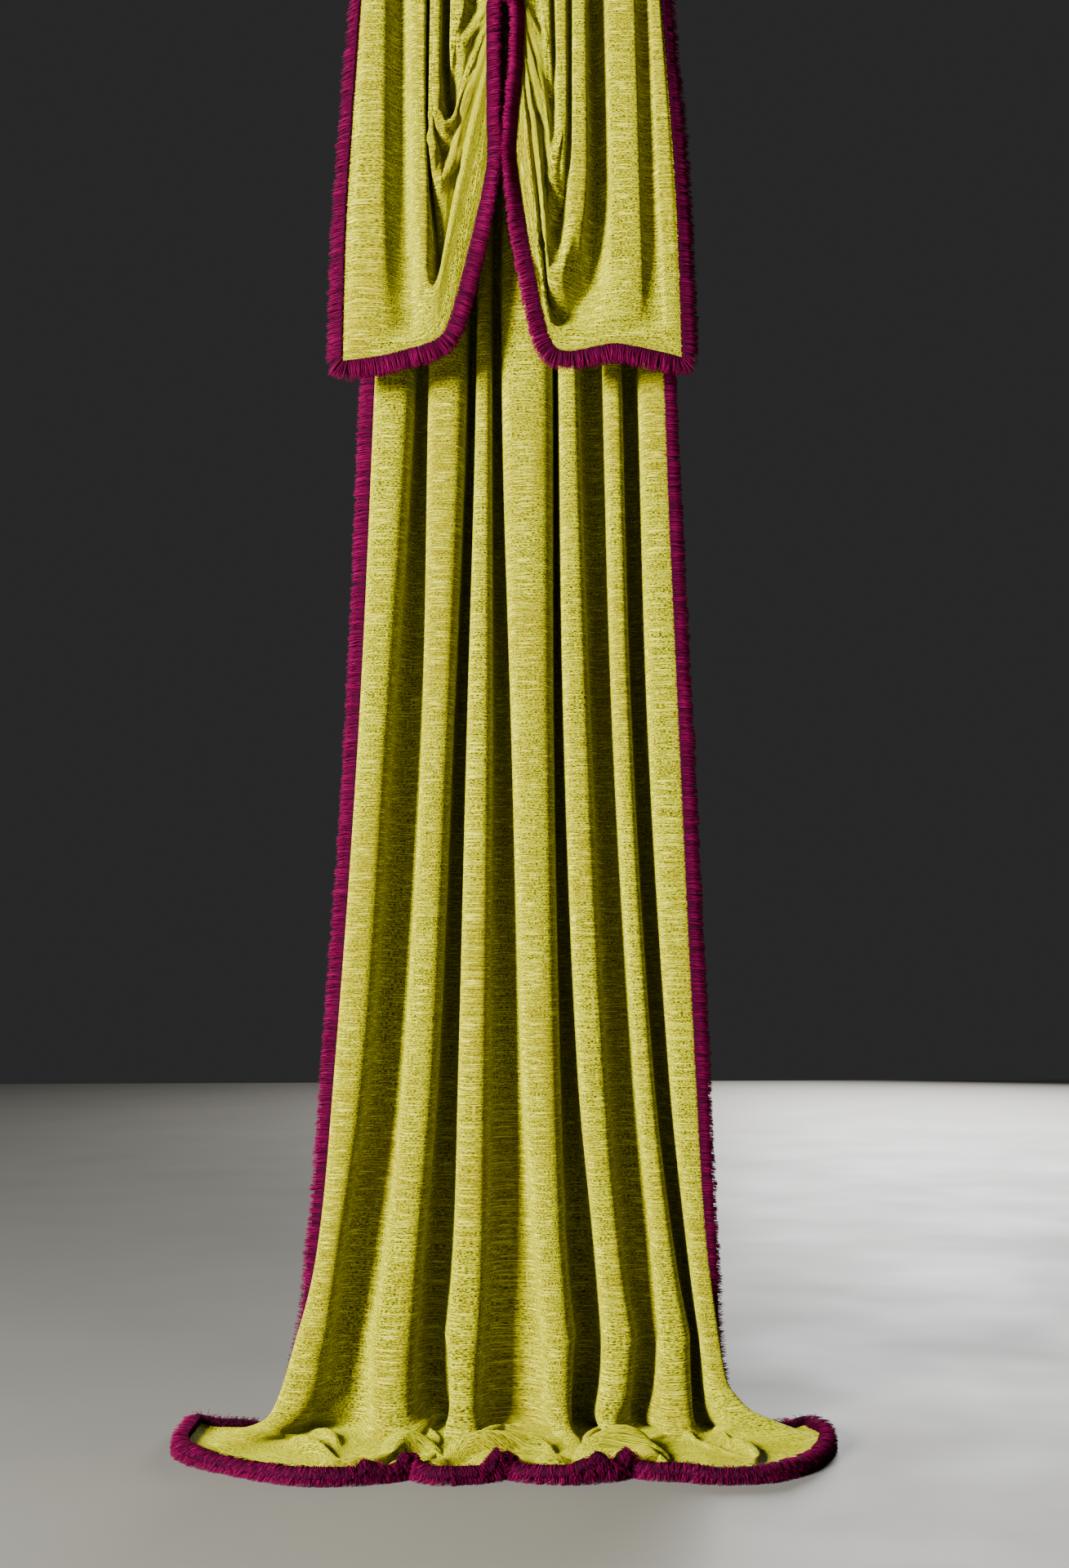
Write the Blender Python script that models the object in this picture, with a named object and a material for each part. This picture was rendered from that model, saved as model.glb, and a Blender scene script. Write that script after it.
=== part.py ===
"""A velvet curtain in two layers, with a cut brush fringe on its edges.

The long panel hangs in seven uneven folds and spreads on the floor. The short panel hangs in front
of it, and the middle of its hem is drawn up into a slit. Both are sheets of cloth: each is a grid
over its back face, which the Solidify modifier gives its thickness.

Metres, +Z up. The origin is the middle of the top edge, the floor is at -DROP, the front faces -Y.
"""

import math
from typing import NamedTuple

import bpy
from mathutils import Vector

DROP = 2.90
FLOOR = -DROP
CLOTH_THICKNESS = 0.002
PANEL_WIDTH = 1.75  # cut width of the long panel, taken up by its folds

PANEL_FRONT = -0.050  # plane of the long panel's crests
EDGE_TURN = 0.010  # radius with which a side edge turns outwards
SHALLOWEST_FOLD = 0.02
DEEPEST_FOLD = 0.16
DEPTH_TRIALS = 30

FRINGE_GAP = 0.002  # between a cloth's edge and its fringe's band
FRINGE_BAND = 0.005
FRINGE_THICKNESS = 0.007
TUFT_LENGTH = 0.030
TUFT_FILL = 0.84  # share of its stretch of band that a tuft's root takes
TIP_LEAST = 0.35  # least share of a tuft's width that is left at its tip
TUFT_LEAST = 0.004  # no tuft grows from a stretch shorter than this
TUFT_SPACE_LEAST = 0.011
SIDE_PITCH = 0.060
HEM_PITCH = 0.048
CORNER_CLEARANCE = 0.002

APEX_X = -0.0065
APEX_HALF_WIDTH = 0.0335
APEX_TOP = -0.127
APEX_SHOULDER = -0.161  # the slit's edges run straight up to here, and then round its top
APEX_LOW = -0.360
APEX_Y = -0.136
SLIT_LEANS = {-1: 0.0, 1: 0.013}  # how far each edge of the slit leans in at APEX_LOW
CREST_BIAS = 1.4  # above 1 widens the crests and narrows the valleys of the short panel
SLIT_TILT = math.radians(62)  # how far the fringe in the slit turns to the front
SLIT_MOUTH = -0.64  # the slit's fringe stands forward above this height
SLIT_MOUTH_FADE = 0.14

VELVET = "olive_gold_velvet"
FRINGE = "magenta_brush_fringe"


class Fold(NamedTuple):
    """A fold of the long panel. Its flanks are given at each of FOLD_DROPS, as x."""

    name: str
    left: tuple
    right: tuple
    stands: float  # how far its crest stands before PANEL_FRONT
    valley_top: float  # depth of the valley on its right, as a share of the full depth
    valley_foot: float
    hem: tuple  # x and y of the hem where the fold's crest runs out on the floor
    valley_hem: tuple  # and where the valley on its right does
    ridge: float  # height of the ridge that it leaves on the floor


FOLD_DROPS = (0.0, 0.89, 1.56, 2.22, 2.58, 2.81)

FOLDS = (
    Fold("A", (-0.236, -0.271, -0.302, -0.349, -0.385, -0.447),
         (-0.160, -0.190, -0.234, -0.280, -0.332, -0.363),
         0.0, 0.85, 0.55, (-0.598, -0.185), (-0.475, -0.310), 0.055),
    Fold("B", (-0.146, -0.164, -0.178, -0.216, -0.254, -0.298),
         (-0.072, -0.086, -0.115, -0.146, -0.176, -0.193),
         0.004, 1.0, 0.95, (-0.330, -0.378), (-0.180, -0.285), 0.045),
    Fold("C", (-0.060, -0.070, -0.090, -0.108, -0.120, -0.144),
         (-0.032, -0.037, -0.039, -0.047, -0.053, -0.065),
         -0.010, 0.85, 0.60, (-0.115, -0.372), (-0.010, -0.300), 0.035),
    Fold("D", (-0.016, -0.019, -0.002, 0.016, 0.041, 0.057),
         (0.082, 0.084, 0.082, 0.091, 0.103, 0.129),
         0.006, 1.0, 1.0, (0.100, -0.372), (0.208, -0.295), 0.050),
    Fold("E", (0.090, 0.092, 0.099, 0.124, 0.157, 0.174),
         (0.132, 0.136, 0.155, 0.183, 0.213, 0.252),
         -0.004, 0.8, 0.55, (0.300, -0.355), (0.380, -0.375), 0.035),
    Fold("F", (0.170, 0.182, 0.197, 0.233, 0.266, 0.284),
         (0.208, 0.220, 0.235, 0.272, 0.313, 0.357),
         -0.006, 0.95, 0.85, (0.465, -0.352), (0.535, -0.255), 0.035),
    Fold("G", (0.226, 0.242, 0.257, 0.293, 0.330, 0.363),
         (0.280, 0.297, 0.319, 0.346, 0.369, 0.401),
         0.0, 0.9, 0.9, (0.572, -0.130), None, 0.090),
)

LEFT_EDGE = (-0.236, -0.272, -0.301, -0.348, -0.381, -0.430)
RIGHT_EDGE = (0.262, 0.280, 0.309, 0.337, 0.350, 0.380)
EDGE_DEPTH = 0.85  # how far back the side edges hang, as a share of the fold depth
LEFT_CORNER = (-0.612, 0.036)
RIGHT_CORNER = (0.556, -0.006)

CREST_ANGLES = (-90, -54, -18, 18, 54, 90)
VALLEY_ANGLES = (-30, 30)
EDGE_ANGLES = (0, 45, 90)
FOLD_SPAN = 180  # degrees of a column's angle from a crest to the valley beside it
EDGE_SPAN = 270  # and from a side edge to the crest beside it

HUNG_DROPS = (0.0, 0.30, 0.60, 0.89, 1.20, 1.56, 1.90, 2.22, 2.42, 2.60, 2.72)
FOOT_DROP = 2.81


class PoolStep(NamedTuple):
    """A stage of the cloth's way from the folds' feet to the hem on the floor."""

    reach: float  # share of the way from the foot to the hem
    lift: float  # height above the floor, folds or not
    ridge: float  # share of each fold's ridge that is left
    rows: int  # rows of the grid on the way to this stage


POOL_STEPS = (
    PoolStep(0.02, 0.052, 0.45, 2),
    PoolStep(0.12, 0.013, 0.90, 2),
    PoolStep(0.30, 0.0, 0.85, 2),
    PoolStep(0.54, 0.0, 0.60, 2),
    PoolStep(0.80, 0.0, 0.26, 2),
    PoolStep(1.0, 0.0, 0.0, 2),
)


class Crumple(NamedTuple):
    """A soft hump that the foot of a fold makes on the floor."""

    name: str
    x: float
    y: float
    length: float  # reach along its own axis
    width: float  # reach across it
    turn: float  # degrees from +X to its axis
    height: float


CRUMPLES = (
    Crumple("rolled tube", -0.330, -0.285, 0.055, 0.018, -8, 0.026),
    Crumple("knot at B", -0.215, -0.185, 0.045, 0.032, 30, 0.050),
    Crumple("tongue of B", -0.130, -0.270, 0.060, 0.022, -35, 0.018),
    Crumple("pinch at C", -0.100, -0.190, 0.040, 0.026, -60, 0.024),
    Crumple("ear", -0.045, -0.200, 0.045, 0.022, 70, 0.060),
    Crumple("roll under D", 0.060, -0.235, 0.060, 0.024, -25, 0.045),
    Crumple("back of D", 0.120, -0.170, 0.035, 0.030, 15, 0.035),
    Crumple("loop at D", 0.198, -0.200, 0.055, 0.020, 75, 0.060),
    Crumple("buckle at E", 0.262, -0.165, 0.035, 0.022, 25, 0.040),
    Crumple("ledge at E", 0.330, -0.285, 0.075, 0.016, -10, 0.020),
)
CRUMPLE_START = 0.25  # share of the way to the hem over which the humps rise
CRUMPLE_FADE = 6  # they die out with this power of the way to the hem
EDGE_RIDGE = 0.25  # share of a fold's ridge that the side edges lie on


class Guide(NamedTuple):
    """A fold line of the short panel, from the top edge down, round and up to the slit's top.

    The places are x and z: on the way down, at the outer low end, halfway along the bottom, at the
    inner low end and on the way up beside the slit. The depths are y at the same places.
    """

    name: str
    top_x: float
    hang: tuple
    fall: tuple
    base: tuple
    turn: tuple
    rise: tuple
    depths: tuple
    rounding: float  # 0 for a sharp corner at the outer low end, 1 for a smooth bend
    gather: float  # where it ends, from low on the slit's edge (0) to the middle of its top (1)


LEFT_GUIDES = (
    Guide("left edge", -0.279, (-0.321, -0.540), (-0.329, -0.853), (-0.215, -0.838),
          (-0.120, -0.792), (-0.043, -0.489), (-0.112, -0.118, -0.140, -0.138, -0.130), 0.0, 0.0),
    Guide("crest 1", -0.262, (-0.274, -0.540), (-0.284, -0.790), (-0.210, -0.805),
          (-0.124, -0.770), (-0.054, -0.470), (-0.150, -0.150, -0.140, -0.142, -0.138), 0.35, 0.12),
    Guide("valley 1", -0.216, (-0.216, -0.540), (-0.215, -0.735), (-0.176, -0.775),
          (-0.130, -0.748), (-0.065, -0.450), (-0.098, -0.112, -0.128, -0.142, -0.142), 0.8, 0.24),
    Guide("crest 2", -0.180, (-0.181, -0.400), (-0.174, -0.674), (-0.160, -0.712),
          (-0.134, -0.698), (-0.076, -0.430), (-0.150, -0.152, -0.150, -0.150, -0.148), 0.6, 0.35),
    Guide("void 2", -0.160, (-0.167, -0.370), (-0.151, -0.575), (-0.139, -0.632),
          (-0.127, -0.615), (-0.084, -0.408), (-0.090, -0.082, -0.086, -0.106, -0.130), 0.6, 0.45),
    Guide("crest 3 low", -0.150, (-0.160, -0.386), (-0.148, -0.463), (-0.138, -0.505),
          (-0.120, -0.490), (-0.091, -0.385), (-0.140, -0.145, -0.142, -0.142, -0.142), 0.6, 0.53),
    Guide("hollow 3", -0.144, (-0.152, -0.352), (-0.140, -0.415), (-0.130, -0.440),
          (-0.115, -0.428), (-0.092, -0.352), (-0.138, -0.124, -0.106, -0.120, -0.132), 0.6, 0.6),
    Guide("crest 3", -0.136, (-0.144, -0.310), (-0.138, -0.368), (-0.125, -0.390),
          (-0.108, -0.380), (-0.088, -0.315), (-0.150, -0.155, -0.151, -0.145, -0.141), 0.6, 0.67),
    Guide("void 3", -0.120, (-0.122, -0.262), (-0.118, -0.325), (-0.110, -0.348),
          (-0.101, -0.343), (-0.083, -0.275), (-0.092, -0.086, -0.094, -0.122, -0.132), 0.6, 0.735),
    Guide("crest 4", -0.092, (-0.101, -0.172), (-0.102, -0.222), (-0.092, -0.240),
          (-0.082, -0.236), (-0.066, -0.208), (-0.150, -0.152, -0.150, -0.146, -0.141), 0.6, 0.805),
    Guide("hollow 5", -0.062, (-0.068, -0.115), (-0.068, -0.144), (-0.064, -0.155),
          (-0.058, -0.159), (-0.050, -0.153), (-0.112, -0.112, -0.116, -0.122, -0.130), 1.0, 0.86),
    Guide("pleat 5", -0.034, (-0.036, -0.070), (-0.036, -0.092), (-0.034, -0.104),
          (-0.031, -0.113), (-0.026, -0.122), (-0.138, -0.140, -0.140, -0.140, -0.138), 1.0, 0.95),
)

CENTRE_GUIDE = Guide(
    "centre", -0.004, (-0.004, -0.040), (-0.005, -0.070), (-0.005, -0.085),
    (-0.006, -0.100), (-0.006, -0.115), (-0.138, -0.138, -0.138, -0.138, -0.138), 1.0, 1.0)

RIGHT_GUIDES = (
    Guide("right edge", 0.283, (0.3185, -0.515), (0.3295, -0.851), (0.208, -0.826),
          (0.077, -0.823), (0.010, -0.470), (-0.096, -0.106, -0.148, -0.126, -0.130), 0.0, 0.0),
    Guide("crest 8", 0.272, (0.296, -0.515), (0.300, -0.797), (0.205, -0.808),
          (0.076, -0.806), (0.020, -0.462), (-0.144, -0.140, -0.150, -0.130, -0.136), 0.35, 0.12),
    Guide("valley 7", 0.252, (0.263, -0.515), (0.272, -0.766), (0.192, -0.797),
          (0.0755, -0.792), (0.029, -0.452), (-0.092, -0.124, -0.150, -0.133, -0.139), 0.8, 0.24),
    Guide("crest 7", 0.208, (0.220, -0.515), (0.212, -0.742), (0.160, -0.786),
          (0.0755, -0.777), (0.037, -0.440), (-0.150, -0.151, -0.140, -0.137, -0.142), 0.6, 0.35),
    Guide("void 6", 0.163, (0.170, -0.499), (0.157, -0.674), (0.118, -0.752),
          (0.077, -0.750), (0.044, -0.425), (-0.078, -0.080, -0.104, -0.131, -0.141), 0.6, 0.45),
    Guide("crest 6", 0.136, (0.132, -0.458), (0.120, -0.600), (0.098, -0.676),
          (0.074, -0.672), (0.052, -0.408), (-0.150, -0.151, -0.142, -0.142, -0.148), 0.6, 0.53),
    Guide("void 5", 0.118, (0.116, -0.417), (0.106, -0.530), (0.088, -0.572),
          (0.072, -0.552), (0.060, -0.385), (-0.118, -0.082, -0.084, -0.110, -0.130), 0.6, 0.6),
    Guide("crest 5", 0.100, (0.102, -0.345), (0.099, -0.425), (0.088, -0.456),
          (0.079, -0.440), (0.067, -0.345), (-0.150, -0.156, -0.156, -0.148, -0.142), 0.6, 0.67),
    Guide("hollow 4r", 0.081, (0.086, -0.262), (0.086, -0.325), (0.080, -0.350),
          (0.074, -0.340), (0.062, -0.278), (-0.110, -0.106, -0.110, -0.120, -0.131), 0.6, 0.735),
    Guide("pleat 3r", 0.064, (0.071, -0.185), (0.073, -0.230), (0.069, -0.248),
          (0.064, -0.240), (0.050, -0.206), (-0.140, -0.146, -0.146, -0.144, -0.140), 0.6, 0.805),
    Guide("hollow 3r", 0.046, (0.054, -0.118), (0.054, -0.148), (0.050, -0.162),
          (0.045, -0.164), (0.037, -0.155), (-0.116, -0.116, -0.118, -0.123, -0.130), 1.0, 0.86),
    Guide("pleat 2r", 0.022, (0.023, -0.070), (0.023, -0.092), (0.021, -0.104),
          (0.018, -0.113), (0.013, -0.122), (-0.138, -0.140, -0.140, -0.140, -0.138), 1.0, 0.95),
)

STATION_ROWS = (4, 4, 3, 3, 4, 4)  # rows of the grid from each place of a guide to the next
CORNER_STATION = 2


class ClothPoint(NamedTuple):
    """A point of a cloth's back face, with the way in which the cloth is thick there."""

    place: Vector
    normal: Vector


class EdgePoint(NamedTuple):
    """A point beside a cloth's edge, with the ways that its fringe takes from it."""

    place: Vector
    outward: Vector
    front: Vector


def clear_scene():
    """Remove every object of the open scene."""
    for old in list(bpy.data.objects):
        bpy.data.objects.remove(old, do_unlink=True)


def make_material(name, colour, roughness):
    """Make a matt cloth material of one colour."""
    material = bpy.data.materials.new(name)
    material.use_nodes = True
    shader = material.node_tree.nodes["Principled BSDF"]
    shader.inputs["Base Color"].default_value = (*colour, 1.0)
    shader.inputs["Roughness"].default_value = roughness
    shader.inputs["Metallic"].default_value = 0.0
    return material


def blend(a, b, share):
    """Go from a to b by a share."""
    return a + (b - a) * share


def slope(knots, values, i):
    """Slope at knot i of a smooth curve through the values."""
    before = max(i - 1, 0)
    after = min(i + 1, len(knots) - 1)
    return (values[after] - values[before]) / (knots[after] - knots[before])


def curve_point(a, b, start, end, share):
    """Place on a cubic from a to b, which it leaves and reaches with the slopes start and end."""
    rest = 1 - share
    return (
        a * (rest * rest * (1 + 2 * share))
        + b * (share * share * (3 - 2 * share))
        + start * (share * rest * rest)
        - end * (share * share * rest)
    )


def smooth(knots, values, t):
    """Value at t of a smooth curve through the values, which may be numbers or vectors."""
    i = 0
    while i < len(knots) - 2 and t > knots[i + 1]:
        i += 1
    span = knots[i + 1] - knots[i]
    start = slope(knots, values, i) * span
    end = slope(knots, values, i + 1) * span
    return curve_point(values[i], values[i + 1], start, end, (t - knots[i]) / span)


class Column(NamedTuple):
    """A column of the long panel's grid."""

    part: str  # left, crest, valley or right
    fold: int
    angle: float
    along: float  # 0 at the left edge, 1 on the crest of A, 2 in the valley after it, and so on


def panel_columns():
    """List the long panel's columns from its left edge to its right edge."""
    last = len(FOLDS) - 1
    columns = [Column("left", 0, math.radians(a), a / EDGE_SPAN) for a in EDGE_ANGLES]
    for i in range(len(FOLDS)):
        for a in CREST_ANGLES:
            columns.append(Column("crest", i, math.radians(a), 2 * i + 1 + a / FOLD_SPAN))
        if i < last:
            for a in VALLEY_ANGLES:
                columns.append(Column("valley", i, math.radians(a), 2 * i + 2 + a / FOLD_SPAN))
    end = 2 * len(FOLDS)
    for a in reversed(EDGE_ANGLES):
        columns.append(Column("right", last, math.radians(a), end - a / EDGE_SPAN))
    return columns


def section_point(column, drop, depth):
    """Place one column at a height, with folds of the given depth."""
    fold = FOLDS[column.fold]
    middle = PANEL_FRONT + depth / 2
    wave = math.cos(column.angle)
    way = math.sin(column.angle)
    if column.part == "crest":
        left = smooth(FOLD_DROPS, fold.left, drop) + CLOTH_THICKNESS
        right = smooth(FOLD_DROPS, fold.right, drop) - CLOTH_THICKNESS
        x = (left + right) / 2 + (right - left) / 2 * way
        return Vector((x, middle - (depth / 2 + fold.stands) * wave, -drop))
    if column.part == "valley":
        left = smooth(FOLD_DROPS, fold.right, drop) - CLOTH_THICKNESS
        right = smooth(FOLD_DROPS, FOLDS[column.fold + 1].left, drop) + CLOTH_THICKNESS
        share = blend(fold.valley_top, fold.valley_foot, drop / FOOT_DROP)
        x = (left + right) / 2 + (right - left) / 2 * way
        return Vector((x, middle + (share - 0.5) * depth * wave, -drop))
    back = PANEL_FRONT + depth * EDGE_DEPTH
    if column.part == "left":
        x = smooth(FOLD_DROPS, LEFT_EDGE, drop) + EDGE_TURN * way
    else:
        x = smooth(FOLD_DROPS, RIGHT_EDGE, drop) - EDGE_TURN * way
    return Vector((x, back - EDGE_TURN * (1 - wave), -drop))


def line_length(points):
    """Length of a line through points."""
    return sum((b - a).length for a, b in zip(points, points[1:]))


def panel_section(columns, drop):
    """Section of the long panel at a height: its folds are as deep as its cut width asks."""
    shallow, deep = SHALLOWEST_FOLD, DEEPEST_FOLD
    for _ in range(DEPTH_TRIALS):
        depth = (shallow + deep) / 2
        points = [section_point(c, drop, depth) for c in columns]
        if line_length(points) < PANEL_WIDTH:
            shallow = depth
        else:
            deep = depth
    return points


def hem_places():
    """Places of the long panel's hem on the floor, at whole steps of a column's along."""
    places = [LEFT_CORNER]
    for fold in FOLDS:
        places.append(fold.hem)
        if fold.valley_hem:
            places.append(fold.valley_hem)
    places.append(RIGHT_CORNER)
    return [Vector((x, y, FLOOR)) for x, y in places]


def crest_share(column):
    """How much of a fold's height a column has: 1 on a crest, 0 in a valley."""
    if column.part == "crest":
        return 0.5 + 0.5 * math.cos(column.angle)
    if column.part == "valley":
        return 0.5 - 0.5 * math.cos(column.angle)
    return EDGE_RIDGE * math.sin(column.angle)


def crumple_height(x, y):
    """Height of the crumples over a place on the floor."""
    total = 0.0
    for hump in CRUMPLES:
        turn = math.radians(hump.turn)
        dx, dy = x - hump.x, y - hump.y
        along = (dx * math.cos(turn) + dy * math.sin(turn)) / hump.length
        across = (dy * math.cos(turn) - dx * math.sin(turn)) / hump.width
        total += hump.height * math.exp(-along * along - across * across)
    return total


def foot_stages(column, foot, hem):
    """Places of a column on its way from the foot of its fold to the hem."""
    folds = range(len(FOLDS))
    ridge = smooth([2 * i + 1 for i in folds], [f.ridge for f in FOLDS],
                   min(max(column.along, 1), 2 * len(FOLDS) - 1))
    stages = []
    for step in POOL_STEPS:
        place = blend(foot, hem, step.reach)
        height = step.lift + step.ridge * ridge * crest_share(column)
        stages.append(Vector((place.x, place.y, FLOOR + height)))
    return stages


def panel_grid():
    """Back face of the long panel: rows from the top edge to the hem, each from left to right."""
    columns = panel_columns()
    rows = [panel_section(columns, drop) for drop in HUNG_DROPS]
    feet = panel_section(columns, FOOT_DROP)
    hem = hem_places()
    lines = []
    for k, column in enumerate(columns):
        end = smooth(range(len(hem)), hem, column.along)
        stages = foot_stages(column, feet[k], end)
        lines.append([rows[-2][k], rows[-1][k]] + stages)
    for stage, step in enumerate(POOL_STEPS):
        for part in range(step.rows):
            t = stage + 1 + (part + 1) / step.rows
            before = POOL_STEPS[stage - 1].reach if stage else 0.0
            reach = blend(before, step.reach, (part + 1) / step.rows)
            row = [pool_point(line, t, reach) for line in lines]
            rows.append(row)
    return rows


def pool_point(line, t, reach):
    """Place on a column's way over the floor, with the crumples that it crosses."""
    point = smooth(range(len(line)), line, t)
    humps = crumple_height(point.x, point.y) * min(1.0, reach / CRUMPLE_START)
    point.z = max(FLOOR, point.z) + humps * (1 - reach ** CRUMPLE_FADE)
    return point


def apex_place(share, side):
    """Place of a fold line's end at the slit's top, from low on its edge (0) to its middle (1)."""
    straight = APEX_SHOULDER - APEX_LOW
    bend = math.pi / 4 * (APEX_HALF_WIDTH + APEX_TOP - APEX_SHOULDER)
    way = share * (straight + bend)
    if way < straight:
        lean = SLIT_LEANS[side] * (1 - way / straight) ** 2
        return APEX_X + side * (APEX_HALF_WIDTH - lean), APEX_LOW + way
    turn = (way - straight) / bend * math.pi / 2
    x = APEX_X + side * APEX_HALF_WIDTH * math.cos(turn)
    return x, blend(APEX_SHOULDER, APEX_TOP, math.sin(turn))


class FoldLine(NamedTuple):
    """A fold line of the short panel: the places that it passes and its slopes there."""

    places: list
    slopes: list

    def point(self, t):
        """Place on the line at t, which counts the places passed."""
        i = min(int(t), len(self.places) - 2)
        return curve_point(self.places[i], self.places[i + 1], self.slopes[i], self.slopes[i + 1],
                           t - i)


def fold_line(guide, side):
    """Lay a fold line from its guide. No slope is longer than the way to the nearest place."""
    hang, fall, base, turn, rise = guide.depths
    x, z = apex_place(guide.gather, side)
    places = [Vector(p) for p in (
        (guide.top_x, hang, 0.0),
        (guide.hang[0], hang, guide.hang[1]),
        (guide.fall[0], fall, guide.fall[1]),
        (guide.base[0], base, guide.base[1]),
        (guide.turn[0], turn, guide.turn[1]),
        (guide.rise[0], rise, guide.rise[1]),
        (x, APEX_Y, z),
    )]
    slopes = [places[1] - places[0]]
    for before, here, after in zip(places, places[1:], places[2:]):
        longest = min((here - before).length, (after - here).length)
        slopes.append((after - before).normalized() * longest)
    slopes.append(places[-1] - places[-2])
    slopes[CORNER_STATION] *= guide.rounding
    return FoldLine(places, slopes)


def between_guides(a, b):
    """Point between two fold lines: it keeps nearer to the crest's depth than to the valley's."""
    middle = (a + b) / 2
    crest, valley = (a, b) if a.y < b.y else (b, a)
    share = (1 - math.cos(math.pi * 0.5 ** CREST_BIAS)) / 2
    middle.y = blend(crest.y, valley.y, share)
    return middle


def overlay_grid():
    """Back face of the short panel: rows from its top edge to the slit's top, left to right."""
    left = [fold_line(guide, -1) for guide in LEFT_GUIDES]
    right = [fold_line(guide, 1) for guide in RIGHT_GUIDES]
    centre = fold_line(CENTRE_GUIDE, 1)
    lines = left + [centre] + right[::-1]
    rows = []
    for t in station_steps():
        posts = [line.point(t) for line in lines]
        row = [posts[0]]
        for a, b in zip(posts, posts[1:]):
            row += [between_guides(a, b), b]
        rows.append(row)
    return rows


def station_steps():
    """Steps along the fold lines at which the short panel has a row."""
    steps = [0.0]
    for station, count in enumerate(STATION_ROWS):
        steps += [station + (i + 1) / count for i in range(count)]
    return steps


def grid_faces(rows, columns):
    """Faces of a grid, turned to the front."""
    faces = []
    for r in range(rows - 1):
        for c in range(columns - 1):
            here = r * columns + c
            faces.append((here, here + columns, here + columns + 1, here + 1))
    return faces


def add_object(name, points, faces, material):
    """Add a mesh object with its material."""
    mesh = bpy.data.meshes.new(name)
    mesh.from_pydata(points, [], faces)
    mesh.update()
    mesh.materials.append(material)
    thing = bpy.data.objects.new(name, mesh)
    bpy.context.scene.collection.objects.link(thing)
    return thing


def add_cloth(name, rows, material):
    """Add a sheet of cloth over a grid of its back face."""
    points = [p for row in rows for p in row]
    cloth = add_object(name, points, grid_faces(len(rows), len(rows[0])), material)
    cloth.data.shade_smooth()
    thicken = cloth.modifiers.new("thickness", "SOLIDIFY")
    thicken.thickness = CLOTH_THICKNESS
    thicken.offset = 1.0
    found = [ClothPoint(v.co.copy(), v.normal.copy()) for v in cloth.data.vertices]
    width = len(rows[0])
    return [found[i * width:(i + 1) * width] for i in range(len(rows))]


def edge_points(edge, inner, upright):
    """Ways of a fringe along a cloth's edge, from the edge and the line of cloth beside it.

    An upright fringe keeps to the plane that faces the front.
    """
    points = []
    for i, (place, normal) in enumerate(edge):
        run = edge[min(i + 1, len(edge) - 1)].place - edge[max(i - 1, 0)].place
        run.normalize()
        outward = place - inner[i].place
        outward -= run * outward.dot(run)
        if place.z < FLOOR + FRINGE_BAND:
            outward.z = 0.0
        elif upright:
            outward.y = 0.0
        outward.normalize()
        front = outward.cross(run)
        if front.dot(normal) < 0:
            front.negate()
        leaning = CLOTH_THICKNESS * max(0.0, normal.dot(outward))
        points.append(EdgePoint(place + outward * (FRINGE_GAP + leaning), outward, front))
    return points


def divide(points, pitch):
    """Divide a fringe's long stretches into stretches of about one tuft."""
    fine = [points[0]]
    for a, b in zip(points, points[1:]):
        count = max(1, round((b.place - a.place).length / pitch))
        for i in range(1, count + 1):
            share = i / count
            fine.append(EdgePoint(*(x.lerp(y, share) for x, y in zip(a, b))))
    return fine


def slit_tilt(place):
    """Angle by which the fringe at a place of the short panel's hem turns to the front."""
    share = (place.z - SLIT_MOUTH) / SLIT_MOUTH_FADE
    return SLIT_TILT * min(1.0, max(0.0, share))


def tuft_length(start, end, root, longest):
    """Length of a tuft, shorter where the edge bends in and its sides would meet."""
    along = (root[1] - root[0]).normalized()
    closing = -(end - start).dot(along)
    width = (root[1] - root[0]).length
    if closing * longest <= (1 - TIP_LEAST) * width:
        return longest
    return (1 - TIP_LEAST) * width / closing


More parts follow.
